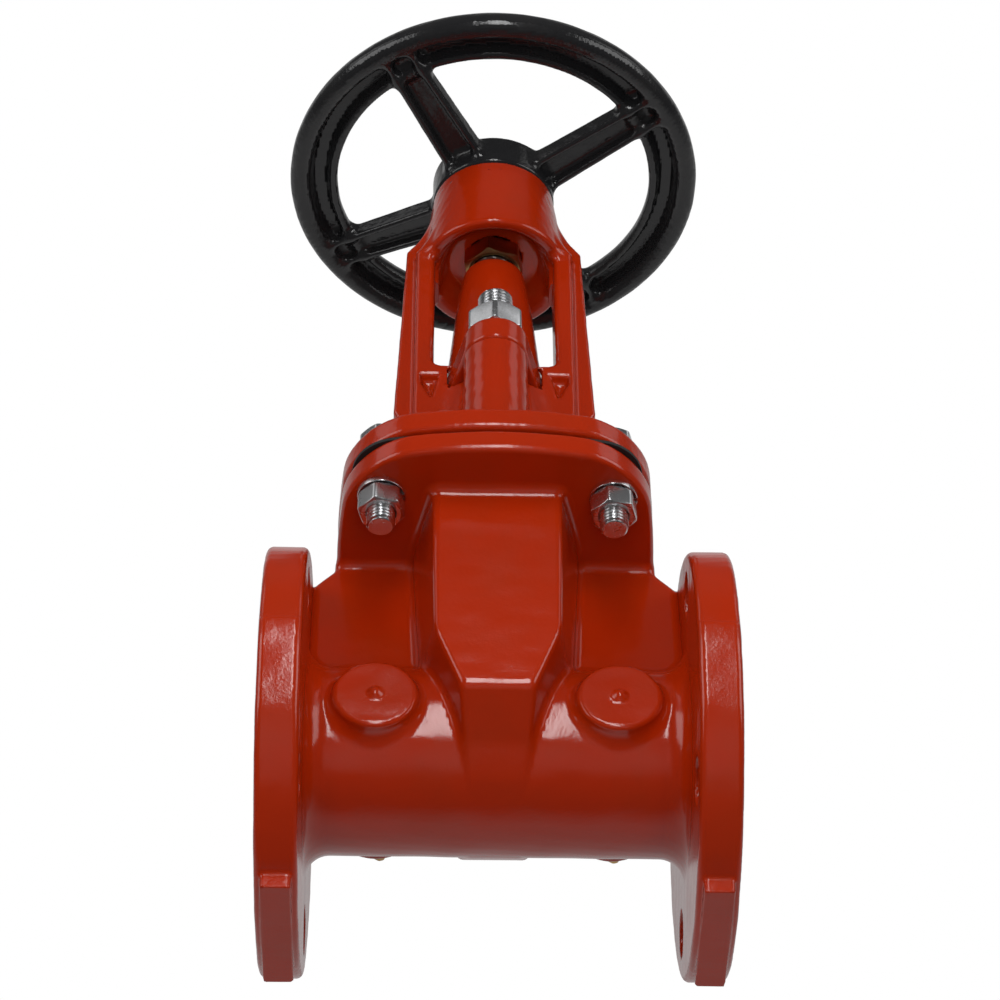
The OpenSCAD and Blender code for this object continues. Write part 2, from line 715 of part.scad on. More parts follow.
module bonnet_yoke() {
    color(RED) difference() {
        union() {
            translate([0, 0, bonnet_z]) linear_extrude(bonnet_flange_t) flange_plan();
            bonnet_neck();
            for (side = [0, 180]) rotate(side) yoke_leg();
            yoke_hub();
        }
        // room for the raised wedge and its stem boss
        translate([-chamber_t / 2, -chamber_w / 2, bonnet_z - cut])
            cube([chamber_t, chamber_w, guide_room_z - bonnet_z + cut]);
        translate([-boss_room_w / 2, -boss_room_w / 2, bonnet_z - cut])
            cube([boss_room_w, boss_room_w, boss_room_z - bonnet_z + cut]);
        cylinder(d = stem_hole_d, h = gland_z + cut);
        translate([0, 0, gland_z - stuffing_depth]) cylinder(d = stuffing_d, h = stuffing_depth + cut);
        // seat of the gland, open upwards
        translate([0, 0, gland_z]) linear_extrude(sill_h + cut) gland_plan(gland_seat_gap);
        for (turn = [0, 180], side = [-1, 1]) rotate(turn)
            translate([0, side * leg_bar_depth / 2, 0]) along_y(2 * pocket_depth) web_pocket();
        // shank of the yoke nut
        translate([0, 0, hub_z]) cylinder(r = yoke_shank_d / 2 + yoke_shank_gap, h = hub_l + cut);
        for (place = PLACES) at_bonnet_bolt(place) translate([0, 0, bonnet_z - cut])
            cylinder(r = bonnet_bolt_d / 2 + bonnet_bolt_gap, h = bonnet_flange_t + 2 * cut);
        for (place = GLAND_PLACES) at_gland_bolt(place) translate([0, 0, gland_z - gland_bolt_in])
            cylinder(d = gland_bolt_d + thread_gap, h = gland_bolt_in + cut);
    }
}

// ---- gland ----

module gland_follower() {
    // Plate on the stuffing box, and a tapering tower scooped out over each gland nut
    collar_z = tower_top_z - collar_h;
    color(RED) difference() {
        union() {
            translate([0, 0, gland_z]) linear_extrude(gland_plate_t) gland_plan();
            difference() {
                rotate_extrude() polygon([
                    [0, gland_top_z - cut], [tower_foot_d / 2, gland_top_z - cut], [collar_d / 2, collar_z],
                    [collar_top_d / 2, tower_top_z], [0, tower_top_z]
                ]);
                for (place = GLAND_PLACES) at_gland_bolt(place) translate([0, 0, gland_top_z])
                    cylinder(r = scoop_r, h = tower_h + cut);
            }
            translate([0, 0, gland_z - spigot_l])
                cylinder(r = stuffing_d / 2 - spigot_gap, h = spigot_l + cut);
        }
        translate([0, 0, gland_z - spigot_l - cut])
            cylinder(d = stem_hole_d, h = spigot_l + gland_plate_t + tower_h + 2 * cut);
        for (place = GLAND_PLACES) at_gland_bolt(place) translate([0, 0, gland_z - cut])
            cylinder(r = gland_bolt_d / 2 + gland_bolt_gap, h = gland_plate_t + 2 * cut);
    }
}

module gland_bolt(place) {
    // Stud screwed into its lug, its upper end chamfered
    length = gland_bolt_in + gland_plate_t + gland_nut_h + gland_bolt_out - bolt_chamfer;
    color(ZINC) at_gland_bolt(place) translate([0, 0, gland_z - gland_bolt_in]) {
        cylinder(d = gland_bolt_d, h = length);
        translate([0, 0, length])
            cylinder(d1 = gland_bolt_d, d2 = gland_bolt_d - 2 * bolt_chamfer, h = bolt_chamfer);
    }
}

module gland_nut(place) {
    color(ZINC) at_gland_bolt(place) translate([0, 0, gland_top_z])
        nut(gland_hex_af, gland_nut_h, gland_bolt_d, gland_hex_turn);
}

// ---- stem and wedge ----

module stem() {
    // Screwed rod with a collar at its foot, hung in the wedge's slot
    length = stem_top_z - stem_foot_z - bolt_chamfer;
    color(STEEL) translate([0, 0, stem_foot_z]) {
        cylinder(d = stem_head_d, h = stem_head_h);
        cylinder(d = stem_d, h = length);
        translate([0, 0, length]) cylinder(d1 = stem_d, d2 = stem_d - 2 * bolt_chamfer, h = bolt_chamfer);
    }
}

module wedge() {
    // Rubber covered wedge with a guide on each side and a slotted boss for the stem's collar
    slot_w = stem_head_d + 2 * wedge_gap;
    neck_w = stem_d + 2 * wedge_gap;
    foot_z = stem_foot_z - axis_z;
    color(RUBBER) translate([0, 0, axis_z]) difference() {
        union() {
            along_x(wedge_t) wedge_outline(0);
            translate([-wedge_boss_w / 2, -wedge_boss_w / 2, 0])
                cube([wedge_boss_w, wedge_boss_w, wedge_h + wedge_boss_h]);
        }
        translate([-wedge_t, -slot_w / 2, foot_z]) cube([2 * wedge_t, slot_w, stem_head_h + wedge_gap]);
        translate([-wedge_t, -neck_w / 2, foot_z])
            cube([2 * wedge_t, neck_w, wedge_h + wedge_boss_h]);
    }
}

// ---- yoke nut and handwheel ----

module driven_shank(gap = 0) {
    // Round shank with two driving flats, from the yoke hub's top upwards
    h = wheel_hub_h + wheel_gap + wheel_nut_h;
    translate([0, 0, hub_top_z]) intersection() {
        cylinder(d = yoke_shank_d + 2 * gap, h = h);
        translate([-drive_flats / 2 - gap, -yoke_shank_d, 0])
            cube([drive_flats + 2 * gap, 2 * yoke_shank_d, h]);
    }
}

module yoke_nut() {
    // Brass nut on the stem: hexagon under the yoke hub, shank up through it to the handwheel
    hex_z = yoke_hex_top_z - yoke_hex_h - running_gap;
    color(BRASS) difference() {
        union() {
            translate([0, 0, hex_z]) hex_block(yoke_hex_af, yoke_hex_h, yoke_hex_turn);
            translate([0, 0, hex_z + cut]) cylinder(d = yoke_shank_d, h = hub_top_z - hex_z - cut);
            driven_shank();
        }
        cylinder(d = stem_hole_d, h = wheel_nut_top_z + cut);
    }
}

module wheel_rim() {
    // Rounded over the top, hollow below between a full outer bead and a thin inner lip
    outer_r = wheel_d / 2;
    mid_r = outer_r - rim_w / 2;
    bead_r = rim_bead_w / 2;
    lip_r = rim_lip_w / 2;
    foot_z = wheel_z + rim_lift;
    arch_z = foot_z + bead_r;
    web_z = foot_z + rim_h - rim_web_t;
    arch = [for (t = [0:10:180]) [mid_r + rim_w / 2 * cos(t), arch_z + (rim_h - bead_r) * sin(t)]];
    lip = [for (t = [180:30:360]) [outer_r - rim_w + lip_r + lip_r * cos(t), arch_z + lip_r * sin(t)]];
    bead = [for (t = [180:20:360]) [outer_r - bead_r + bead_r * cos(t), arch_z + bead_r * sin(t)]];
    rotate_extrude($fn = 144) polygon(concat(
        arch, lip, [[outer_r - rim_w + rim_lip_w + rim_draft, web_z], [outer_r - rim_bead_w - rim_draft, web_z]], bead
    ));
}

module spoke() {
    // Channel, open below, that rises from the hub to the rim along +X
    start_r = wheel_hub_d / 2 - spoke_root;
    end_r = wheel_d / 2 - rim_w + rim_lip_w;
    rib_x = spoke_w / 2 - spoke_rib_w;
    web_h = spoke_h - spoke_web_t;
    rise = rim_lift + rim_h - rim_web_t - (wheel_hub_h - spoke_h) / 2 - spoke_h + spoke_end_lift;
    slope = atan(rise / (end_r - start_r));
    translate([start_r, 0, wheel_z + (wheel_hub_h - spoke_h) / 2]) rotate([0, -slope, 0])
        rotate([90, 0, 90]) linear_extrude((end_r - start_r) / cos(slope)) polygon([
            [-spoke_w / 2, 0], [-rib_x - spoke_draft, 0], [-rib_x, web_h], [rib_x, web_h],
            [rib_x + spoke_draft, 0], [spoke_w / 2, 0], [spoke_w / 2, spoke_h - spoke_bevel],
            [spoke_w / 2 - spoke_bevel, spoke_h], [spoke_bevel - spoke_w / 2, spoke_h],
            [-spoke_w / 2, spoke_h - spoke_bevel]
        ]);
}

module handwheel() {
    hub_r = wheel_hub_d / 2;
    color(BLACK) difference() {
        union() {
            wheel_rim();
            for (i = [0:spoke_count - 1]) rotate(spoke_turn + i * 360 / spoke_count) spoke();
            translate([0, 0, wheel_z]) rotate_extrude() polygon([
                [0, 0], [hub_r - wheel_hub_r, 0], [hub_r, wheel_hub_r], [hub_r, wheel_hub_h - wheel_hub_r],
                [hub_r - wheel_hub_r, wheel_hub_h], [0, wheel_hub_h]
            ]);
        }
        driven_shank(running_gap);
    }
}

module wheel_nut() {
    color(ZINC) translate([0, 0, wheel_top_z]) nut(wheel_nut_af, wheel_nut_h, yoke_shank_d, wheel_nut_turn);
}

module boss_plug(place) {
    // Square-headed plug screwed into a rear boss
    shank_l = boss_reach - barrel_d / 2 + plug_root;
    color(BRASS) translate([place == "left" ? -boss_x : boss_x, boss_reach, axis_z]) rotate([-90, 0, 0]) {
        translate([0, 0, -shank_l]) cylinder(d = plug_shank_d - thread_gap, h = shank_l + cut);
        cylinder(d = plug_collar_d, h = plug_collar_t);
        rotate(plug_turn) translate([-plug_square / 2, -plug_square / 2, 0])
            cube([plug_square, plug_square, plug_collar_t + plug_square_h]);
    }
}

valve_body();
bonnet_gasket();
bonnet_yoke();
gland_follower();
stem();
wedge();
yoke_nut();
handwheel();
wheel_nut();
for (place = PLACES) {
    bonnet_bolt(place);
    lock_washer(place);
    bonnet_nut(place);
}
for (place = GLAND_PLACES) {
    gland_bolt(place);
    gland_nut(place);
}
for (place = PLUG_PLACES) {
    boss_plug(place);
}
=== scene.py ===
"""Looks of a flanged outside screw and yoke gate valve: castings, fasteners, stem, finishes and studio.

The shape code works in millimetres above the floor, as a drawing does. Meshes are written in metres.

Turned and screwed pieces are grids of an angle and a place along a profile. The castings are made another
way, as signed distance fields that are turned into meshes: a sand casting looks right by the fillets where its
barrel, webs, housing, bosses and flanges run into each other, a grid of two parameters can't follow those
joints, and a field gives each joint its radius.
"""

import itertools
import logging
import math
from collections.abc import Callable, Sequence
from dataclasses import dataclass, field
from enum import Enum

import bmesh
import bpy
import numpy as np
from mathutils import Euler, Matrix, Vector


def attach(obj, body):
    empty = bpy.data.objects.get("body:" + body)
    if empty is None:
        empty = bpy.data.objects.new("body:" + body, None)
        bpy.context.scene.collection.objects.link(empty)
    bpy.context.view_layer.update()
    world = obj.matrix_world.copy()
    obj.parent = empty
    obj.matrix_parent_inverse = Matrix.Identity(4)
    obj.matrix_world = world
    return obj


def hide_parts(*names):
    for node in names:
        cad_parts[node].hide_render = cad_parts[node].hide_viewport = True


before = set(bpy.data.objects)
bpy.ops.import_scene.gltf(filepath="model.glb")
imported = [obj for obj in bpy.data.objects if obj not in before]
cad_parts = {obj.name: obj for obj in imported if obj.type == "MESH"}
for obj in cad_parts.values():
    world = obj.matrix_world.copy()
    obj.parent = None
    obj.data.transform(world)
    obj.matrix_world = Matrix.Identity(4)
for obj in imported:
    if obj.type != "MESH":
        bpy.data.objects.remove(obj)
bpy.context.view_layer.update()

LOG = logging.getLogger("gate_valve")
MM = 0.001
TINY = 1e-6
Array = np.ndarray
Field = Callable[[Array, Array, Array], Array]
Triple = tuple[float, float, float]
Colour = tuple[float, float, float]
Points = Sequence[tuple[float, float]]
Planes = list[tuple[Array, float]]
Skin = tuple[Array, Array]
Size = float | Array
Socket = float | bpy.types.NodeSocket


class Body(Enum):
    """The parts of the valve that move on their own."""

    VALVE = "valve"
    HANDWHEEL = "handwheel"
    STEM = "stem"


class Slot(Enum):
    """The finishes of the valve's parts."""

    RED_EPOXY = "red_epoxy"
    BLACK_ENAMEL = "black_enamel"
    ZINC = "zinc"
    BRASS = "brass"
    STEM_STEEL = "stem_steel"
    WEDGE_RUBBER = "wedge_rubber"
    GASKET_RUBBER = "gasket_rubber"


# ---- fields: signed distances in millimetres, negative inside the iron ----

def fillet(a: Array, b: Array, radius: float) -> Array:
    """Joins two shapes with a round fillet: near both surfaces, the distance to a circle of that radius.

    Args:
        a: distance to the first shape.
        b: distance to the second shape.
        radius: fillet radius.

    Returns:
        Distance to the joined shape.
    """
    outside = np.maximum(radius, np.minimum(a, b))
    return outside - np.hypot(np.maximum(radius - a, 0), np.maximum(radius - b, 0))


def trim(a: Array, b: Array, radius: float) -> Array:
    """Keeps what lies in both shapes, with a rounded edge where their surfaces cross.

    Args:
        a: distance to the first shape.
        b: distance to the second shape.
        radius: radius of the edge.

    Returns:
        Distance to the common part.
    """
    inside = np.minimum(-radius, np.maximum(a, b))
    return inside + np.hypot(np.maximum(radius + a, 0), np.maximum(radius + b, 0))


def carve(a: Array, tool: Array, radius: float) -> Array:
    """Cuts tool out of a, with a rounded edge.

    Args:
        a: distance to the shape.
        tool: distance to what is cut away.
        radius: radius of the edge.

    Returns:
        Distance to what is left.
    """
    return trim(a, -tool, radius)


def outline(u: Array, v: Array, points: Points) -> Array:
    """Signed distance to a closed outline: the nearest edge's distance, negative inside.

    Args:
        u: first coordinate.
        v: second coordinate.
        points: corners of the outline in order.

    Returns:
        Distance, with the shape of u and v together.
    """
    corners = np.asarray(points, np.float32)
    shape = np.broadcast(u, v).shape
    nearest = np.full(shape, np.inf, np.float32)
    inside = np.zeros(shape, bool)
    for (u0, v0), (u1, v1) in zip(corners, np.roll(corners, -1, 0)):
        du, dv = u1 - u0, v1 - v0
        if du * du + dv * dv < TINY:
            continue
        t = np.clip(((u - u0) * du + (v - v0) * dv) / (du * du + dv * dv), 0, 1)
        nearest = np.minimum(nearest, (u - u0 - t * du) ** 2 + (v - v0 - t * dv) ** 2)
        if dv != 0:
            inside ^= ((v >= v0) != (v >= v1)) & (u < u0 + (v - v0) / dv * du)
    distance = np.sqrt(nearest)
    return np.where(inside, -distance, distance)


def hull_planes(points: list[Triple]) -> Planes:
    """Planes of the convex hull: each plane through three points that has all the points behind it.

    Args:
        points: corners of the hull.

    Returns:
        Unit normal and offset of each plane.
    """
    corners = np.asarray(points, float)
    i, j, k = np.array(list(itertools.combinations(range(len(corners)), 3))).T
    normal = np.cross(corners[j] - corners[i], corners[k] - corners[i])
    length = np.linalg.norm(normal, axis=1)
    keep = length > TINY
    normal = normal[keep] / length[keep, None]
    normal = np.concatenate([normal, -normal])
    offset = np.sum(normal * np.concatenate([corners[i][keep]] * 2), axis=1)
    outer = np.all(normal @ corners.T - offset[:, None] <= 1e-4, axis=1)
    rows = np.unique(np.round(np.c_[normal[outer], offset[outer]], 4), axis=0)
    return [(row[:3], float(row[3])) for row in rows]


def convex(x: Array, y: Array, z: Array, planes: Planes, radius: float) -> Array:
    """Rounded convex block: the common part of the half spaces behind its planes.

    Args:
        x: coordinate.
        y: coordinate.
        z: coordinate.
        planes: unit normal and offset of each plane.
        radius: radius of the edges.

    Returns:
        Distance to the block.
    """
    result = None
    for normal, offset in planes:
        side = (normal[0] * x + normal[1] * y + normal[2] * z - offset).astype(np.float32)
        result = side if result is None else trim(result, side, radius)
    return result


def cast_waves(x: Array, y: Array, z: Array, height: float, length: float) -> Array:
    """Slow waves of a sand casting: a sum of sines that run in different directions.

    Args:
        x: coordinate.
        y: coordinate.
        z: coordinate.
        height: height of the waves.
        length: their usual length.

    Returns:
        Offset of the surface.
    """
    k = 2 * math.pi / length
    waves = (np.sin(k * (x + 0.31 * z) + 1.3) * np.sin(k * (0.83 * y - 0.47 * z) + 0.4)
             + 0.7 * np.sin(k * 1.7 * (0.6 * x + 0.7 * y) + 2.1) * np.sin(k * 1.6 * (z - 0.3 * x) + 5.0)
             + 0.4 * np.sin(k * 3.1 * (y - 0.2 * x) + 0.7) * np.sin(k * 2.9 * (z + 0.5 * y) + 3.3))
    return height * waves / 2


# ---- meshes ----

def write_mesh(name: str, vertices: Array, faces: Array) -> bpy.types.Object:
    """Makes an object of vertices in millimetres and faces that all have the same number of corners.

    Args:
        name: name of the piece.
        vertices: (n, 3) coordinates.
        faces: (m, corners) vertex numbers.

    Returns:
        The object, linked to the scene.
    """
    mesh = bpy.data.meshes.new(name)
    corners = faces.shape[1]
    mesh.vertices.add(len(vertices))
    mesh.vertices.foreach_set("co", (np.asarray(vertices, float) * MM).astype(np.float32).ravel())
    mesh.loops.add(faces.size)
    mesh.loops.foreach_set("vertex_index", faces.astype(np.int32).ravel())
    mesh.polygons.add(len(faces))
    mesh.polygons.foreach_set("loop_start", np.arange(0, faces.size, corners, dtype=np.int32))
    mesh.update(calc_edges=True)
    mesh.validate()
    piece = bpy.data.objects.new(name, mesh)
    bpy.context.scene.collection.objects.link(piece)
    return piece


def read_vertices(mesh: bpy.types.Mesh) -> Array:
    """Reads the vertices of a mesh.

    Args:
        mesh: the mesh.

    Returns:
        (n, 3) coordinates in millimetres.
    """
    flat = np.empty(3 * len(mesh.vertices), np.float32)
    mesh.vertices.foreach_get("co", flat)
    return flat.reshape(-1, 3).astype(float) / MM


def join_meshes(parts: list[Skin]) -> Skin:
    """Puts several parts into one mesh.

    Args:
        parts: vertices and faces of each part.

    Returns:
        Vertices and faces of the whole.
    """
    starts = np.cumsum([0] + [len(vertices) for vertices, _ in parts[:-1]])
    return (np.concatenate([vertices for vertices, _ in parts]),
            np.concatenate([faces + start for (_, faces), start in zip(parts, starts)]))


def tube_grid(points: Array) -> Skin:
    """Skins a grid of rings: rows follow the profile, columns run round the axis, and both ends close.

    Args:
        points: (rows, columns, 3) ring points, the rings running counterclockwise about the way that rows go.

    Returns:
        Vertices and four-cornered faces; at the two poles a corner is doubled along a ring of no size.
    """
    rows, columns, _ = points.shape
    here = np.arange(rows * columns).reshape(rows, columns)
    after = np.roll(here, -1, axis=1)
    faces = np.stack([here[:-1], after[:-1], after[1:], here[1:]], axis=-1).reshape(-1, 4)
    return points.reshape(-1, 3), faces


def sharpen(piece: bpy.types.Object, degrees: float) -> None:
    """Shades a piece smooth, apart from edges that turn more than that angle."""
    piece.data.shade_smooth()
    piece.data.set_sharp_from_angle(angle=math.radians(degrees))


def merge_poles(piece: bpy.types.Object) -> None:
    """Merges vertices that lie on each other, such as a pole's, and drops the faces of no size between them.

    Args:
        piece: the piece, whose mesh is changed.
    """
    work = bmesh.new()
    work.from_mesh(piece.data)
    bmesh.ops.remove_doubles(work, verts=work.verts, dist=0.002 * MM)
    bmesh.ops.dissolve_degenerate(work, edges=work.edges, dist=0.001 * MM)
    work.to_mesh(piece.data)
    work.free()


@dataclass
class Mould:
    """Turns a field into a mesh: a net of one vertex per crossed cell, moved onto the surface.

    The castings are made this way because their fillets join many shapes at once, where a grid along a
    profile or a path has no place for them. Reaches are in millimetres, settle_share is a share of a cell.
    """

    low: Triple
    high: Triple
    step: float
    most_triangles: int = 190000
    refine_rounds: int = 4
    settle_share: float = 0.4
    least_slope: float = 0.25
    settle_reach: float = 0.02
    shade_reach: float = 0.08

    def net(self, shape: Field) -> Skin:
        """Puts a vertex in each grid cell that the surface crosses, and a face round each crossed grid edge.

        Args:
            shape: signed distance to the piece.

        Returns:
            Vertices and four-cornered faces, seen counterclockwise from outside.
        """
        axes = [np.arange(lo - 1.5 * self.step, hi + 2.5 * self.step, self.step, dtype=np.float32)
                for lo, hi in zip(self.low, self.high)]
        x, y, z = (axis.reshape([-1 if a == b else 1 for b in range(3)]) for a, axis in enumerate(axes))
        values = np.broadcast_to(shape(x, y, z), [len(axis) for axis in axes])
        inside = values < 0
        cells = tuple(n - 1 for n in values.shape)
        corner_list = list(itertools.product((0, 1), repeat=3))
        count = sum(inside[i:i + cells[0], j:j + cells[1], k:k + cells[2]].astype(np.int8)
                    for i, j, k in corner_list)
        active = np.argwhere((count > 0) & (count < 8))
        number = np.full(cells, -1, np.int64)
        number[tuple(active.T)] = np.arange(len(active))
        total, hits = np.zeros((len(active), 3)), np.zeros(len(active))
        for first in corner_list:
            for axis in range(3):
                if first[axis]:
                    continue
                second = tuple(1 if a == axis else c for a, c in enumerate(first))
                a = values[tuple((active + first).T)]
                b = values[tuple((active + second).T)]
                crossed = (a < 0) != (b < 0)
                share = np.where(crossed, a / np.where(crossed, a - b, 1), 0)
                at = np.array(first, float) + share[:, None] * (np.arange(3) == axis)
                total += at * crossed[:, None]
                hits += crossed
        origin = np.array([axis[0] for axis in axes], float)
        vertices = origin + (active + total / hits[:, None]) * self.step
        faces = []
        for axis in range(3):
            u, v = (axis + 1) % 3, (axis + 2) % 3
            start, stop = [1, 1, 1], [n - 1 for n in values.shape]
            start[axis], stop[axis] = 0, values.shape[axis] - 1
            near = inside[tuple(slice(s, e) for s, e in zip(start, stop))]
            shifted = [slice(s, e) for s, e in zip(start, stop)]
            shifted[axis] = slice(1, values.shape[axis])
            far = inside[tuple(shifted)]
            edges = np.argwhere(near != far) + start
            outward = near[tuple((edges - start).T)]
            du, dv = np.eye(3, dtype=int)[u], np.eye(3, dtype=int)[v]
            ring = np.stack([number[tuple((edges - move).T)] for move in (du + dv, dv, 0 * du, du)], axis=1)
            faces.append(np.where(outward[:, None], ring, ring[:, ::-1]))
        return vertices, np.concatenate(faces)

    def settle(self, shape: Field, vertices: Array) -> Array:
        """Moves vertices onto the surface by Newton steps along the field's slope.

        Args:
            shape: signed distance to the piece.
            vertices: (n, 3) points near the surface.

        Returns:
            The moved points.
        """
        for _ in range(self.refine_rounds):
            slope = self.slope(shape, vertices, self.settle_reach)
            value = shape(*vertices.T)
            move = value / np.maximum(np.sum(slope ** 2, axis=1), self.least_slope)
            move = np.clip(move, -self.settle_share * self.step, self.settle_share * self.step)
            vertices = vertices - move[:, None] * slope
        return vertices

    @staticmethod
    def slope(shape: Field, vertices: Array, reach: float) -> Array:
        """Slope of the field at each vertex: its difference over a short reach to both sides of each axis.

        Args:
            shape: signed distance to the piece.
            vertices: (n, 3) points.
            reach: how far to each side.

        Returns:
            (n, 3) slopes.
        """
        parts = []
        for axis in range(3):
            shift = reach * (np.arange(3) == axis)
            parts.append((shape(*(vertices + shift).T) - shape(*(vertices - shift).T)) / (2 * reach))
        return np.stack(parts, axis=1)

    def cast(self, name: str, shape: Field) -> bpy.types.Object:
        """Makes the piece, thins its mesh to the triangle limit and shades it by the field's own slope.

        Args:
            name: name of the piece.
            shape: signed distance to the piece.

        Returns:
            The finished object.
        """
        vertices, faces = self.net(shape)
        vertices = self.settle(shape, vertices)
        piece = write_mesh(name, vertices, faces)
        if 2 * len(faces) > self.most_triangles:
            thin = piece.modifiers.new("thin", "DECIMATE")
            thin.ratio = self.most_triangles / (2 * len(faces))
            mesh = bpy.data.meshes.new_from_object(piece.evaluated_get(bpy.context.evaluated_depsgraph_get()))
            piece.modifiers.clear()
            old, piece.data = piece.data, mesh
            bpy.data.meshes.remove(old)
            mesh.name = name
            vertices = self.settle(shape, read_vertices(mesh))
            mesh.vertices.foreach_set("co", (vertices * MM).astype(np.float32).ravel())
        mesh = piece.data
        mesh.update()
        mesh.shade_smooth()
        slope = self.slope(shape, read_vertices(mesh), self.shade_reach)
        slope /= np.maximum(np.linalg.norm(slope, axis=1), TINY)[:, None]
        mesh.normals_split_custom_set_from_vertices(slope.tolist())
        return piece


# ---- castings ----

DIAGONAL = 0.70711
GUIDE_COSINE = 0.7071
DEEP = -9.0


@dataclass(frozen=True)
class JointPlan:
    """Plate that both joint flanges share: four big circles bow the sides, and the corners are round."""

    half_w: float = 68.75
    half_l: float = 81.0
    bow: float = 4.0
    corner_r: float = 24.0
    half_t: float = 6.0
    edge_r: float = 2.4

    def plate(self, x: Array, y: Array, up: Array) -> Array:
        """Distance to the plate: the common part of the four circles and of its thickness.

        Args:
            x: coordinate along the bore.
            y: coordinate from front to back.
            up: height from the plate's middle.

        Returns:
            Distance to the plate.
        """
        span_y, span_x = self.half_l - self.bow - self.corner_r, self.half_w - self.bow - self.corner_r
        side_r = (span_y ** 2 + self.bow ** 2) / (2 * self.bow)
        end_r = (span_x ** 2 + self.bow ** 2) / (2 * self.bow)
        sides = np.hypot(np.abs(x) + side_r - self.half_w, y) - side_r
        ends = np.hypot(x, np.abs(y) + end_r - self.half_l) - end_r
        return trim(trim(sides, ends, self.corner_r), np.abs(up) - self.half_t, self.edge_r)


@dataclass(frozen=True)
class GlandPlan:
    """Plan of the gland plate: a round middle and a smaller circle at each stud, joined by straight sides."""

    middle_r: float = 23.0
    lug_r: float = 14.5
    stud_y: float = 32.0

    def distance(self, x: Array, y: Array) -> Array:
        """Distance to the plan: to the nearer circle, or to the side that touches both.

        Args:
            x: coordinate along the bore.
            y: coordinate from front to back.

        Returns:
            Distance in the plane of the plate.
        """
        ax, ay = np.abs(x), np.abs(y)
        lean = (self.middle_r - self.lug_r) / self.stud_y
        straight = math.sqrt(1 - lean * lean)
        along = -lean * ax + straight * ay
        side = straight * ax + lean * ay - self.middle_r
        lug = np.hypot(ax, ay - self.stud_y) - self.lug_r
        return np.where(along < 0, np.hypot(ax, ay) - self.middle_r,
                        np.where(along > straight * self.stud_y, lug, side))


JOINT = JointPlan()
GLAND = GlandPlan()


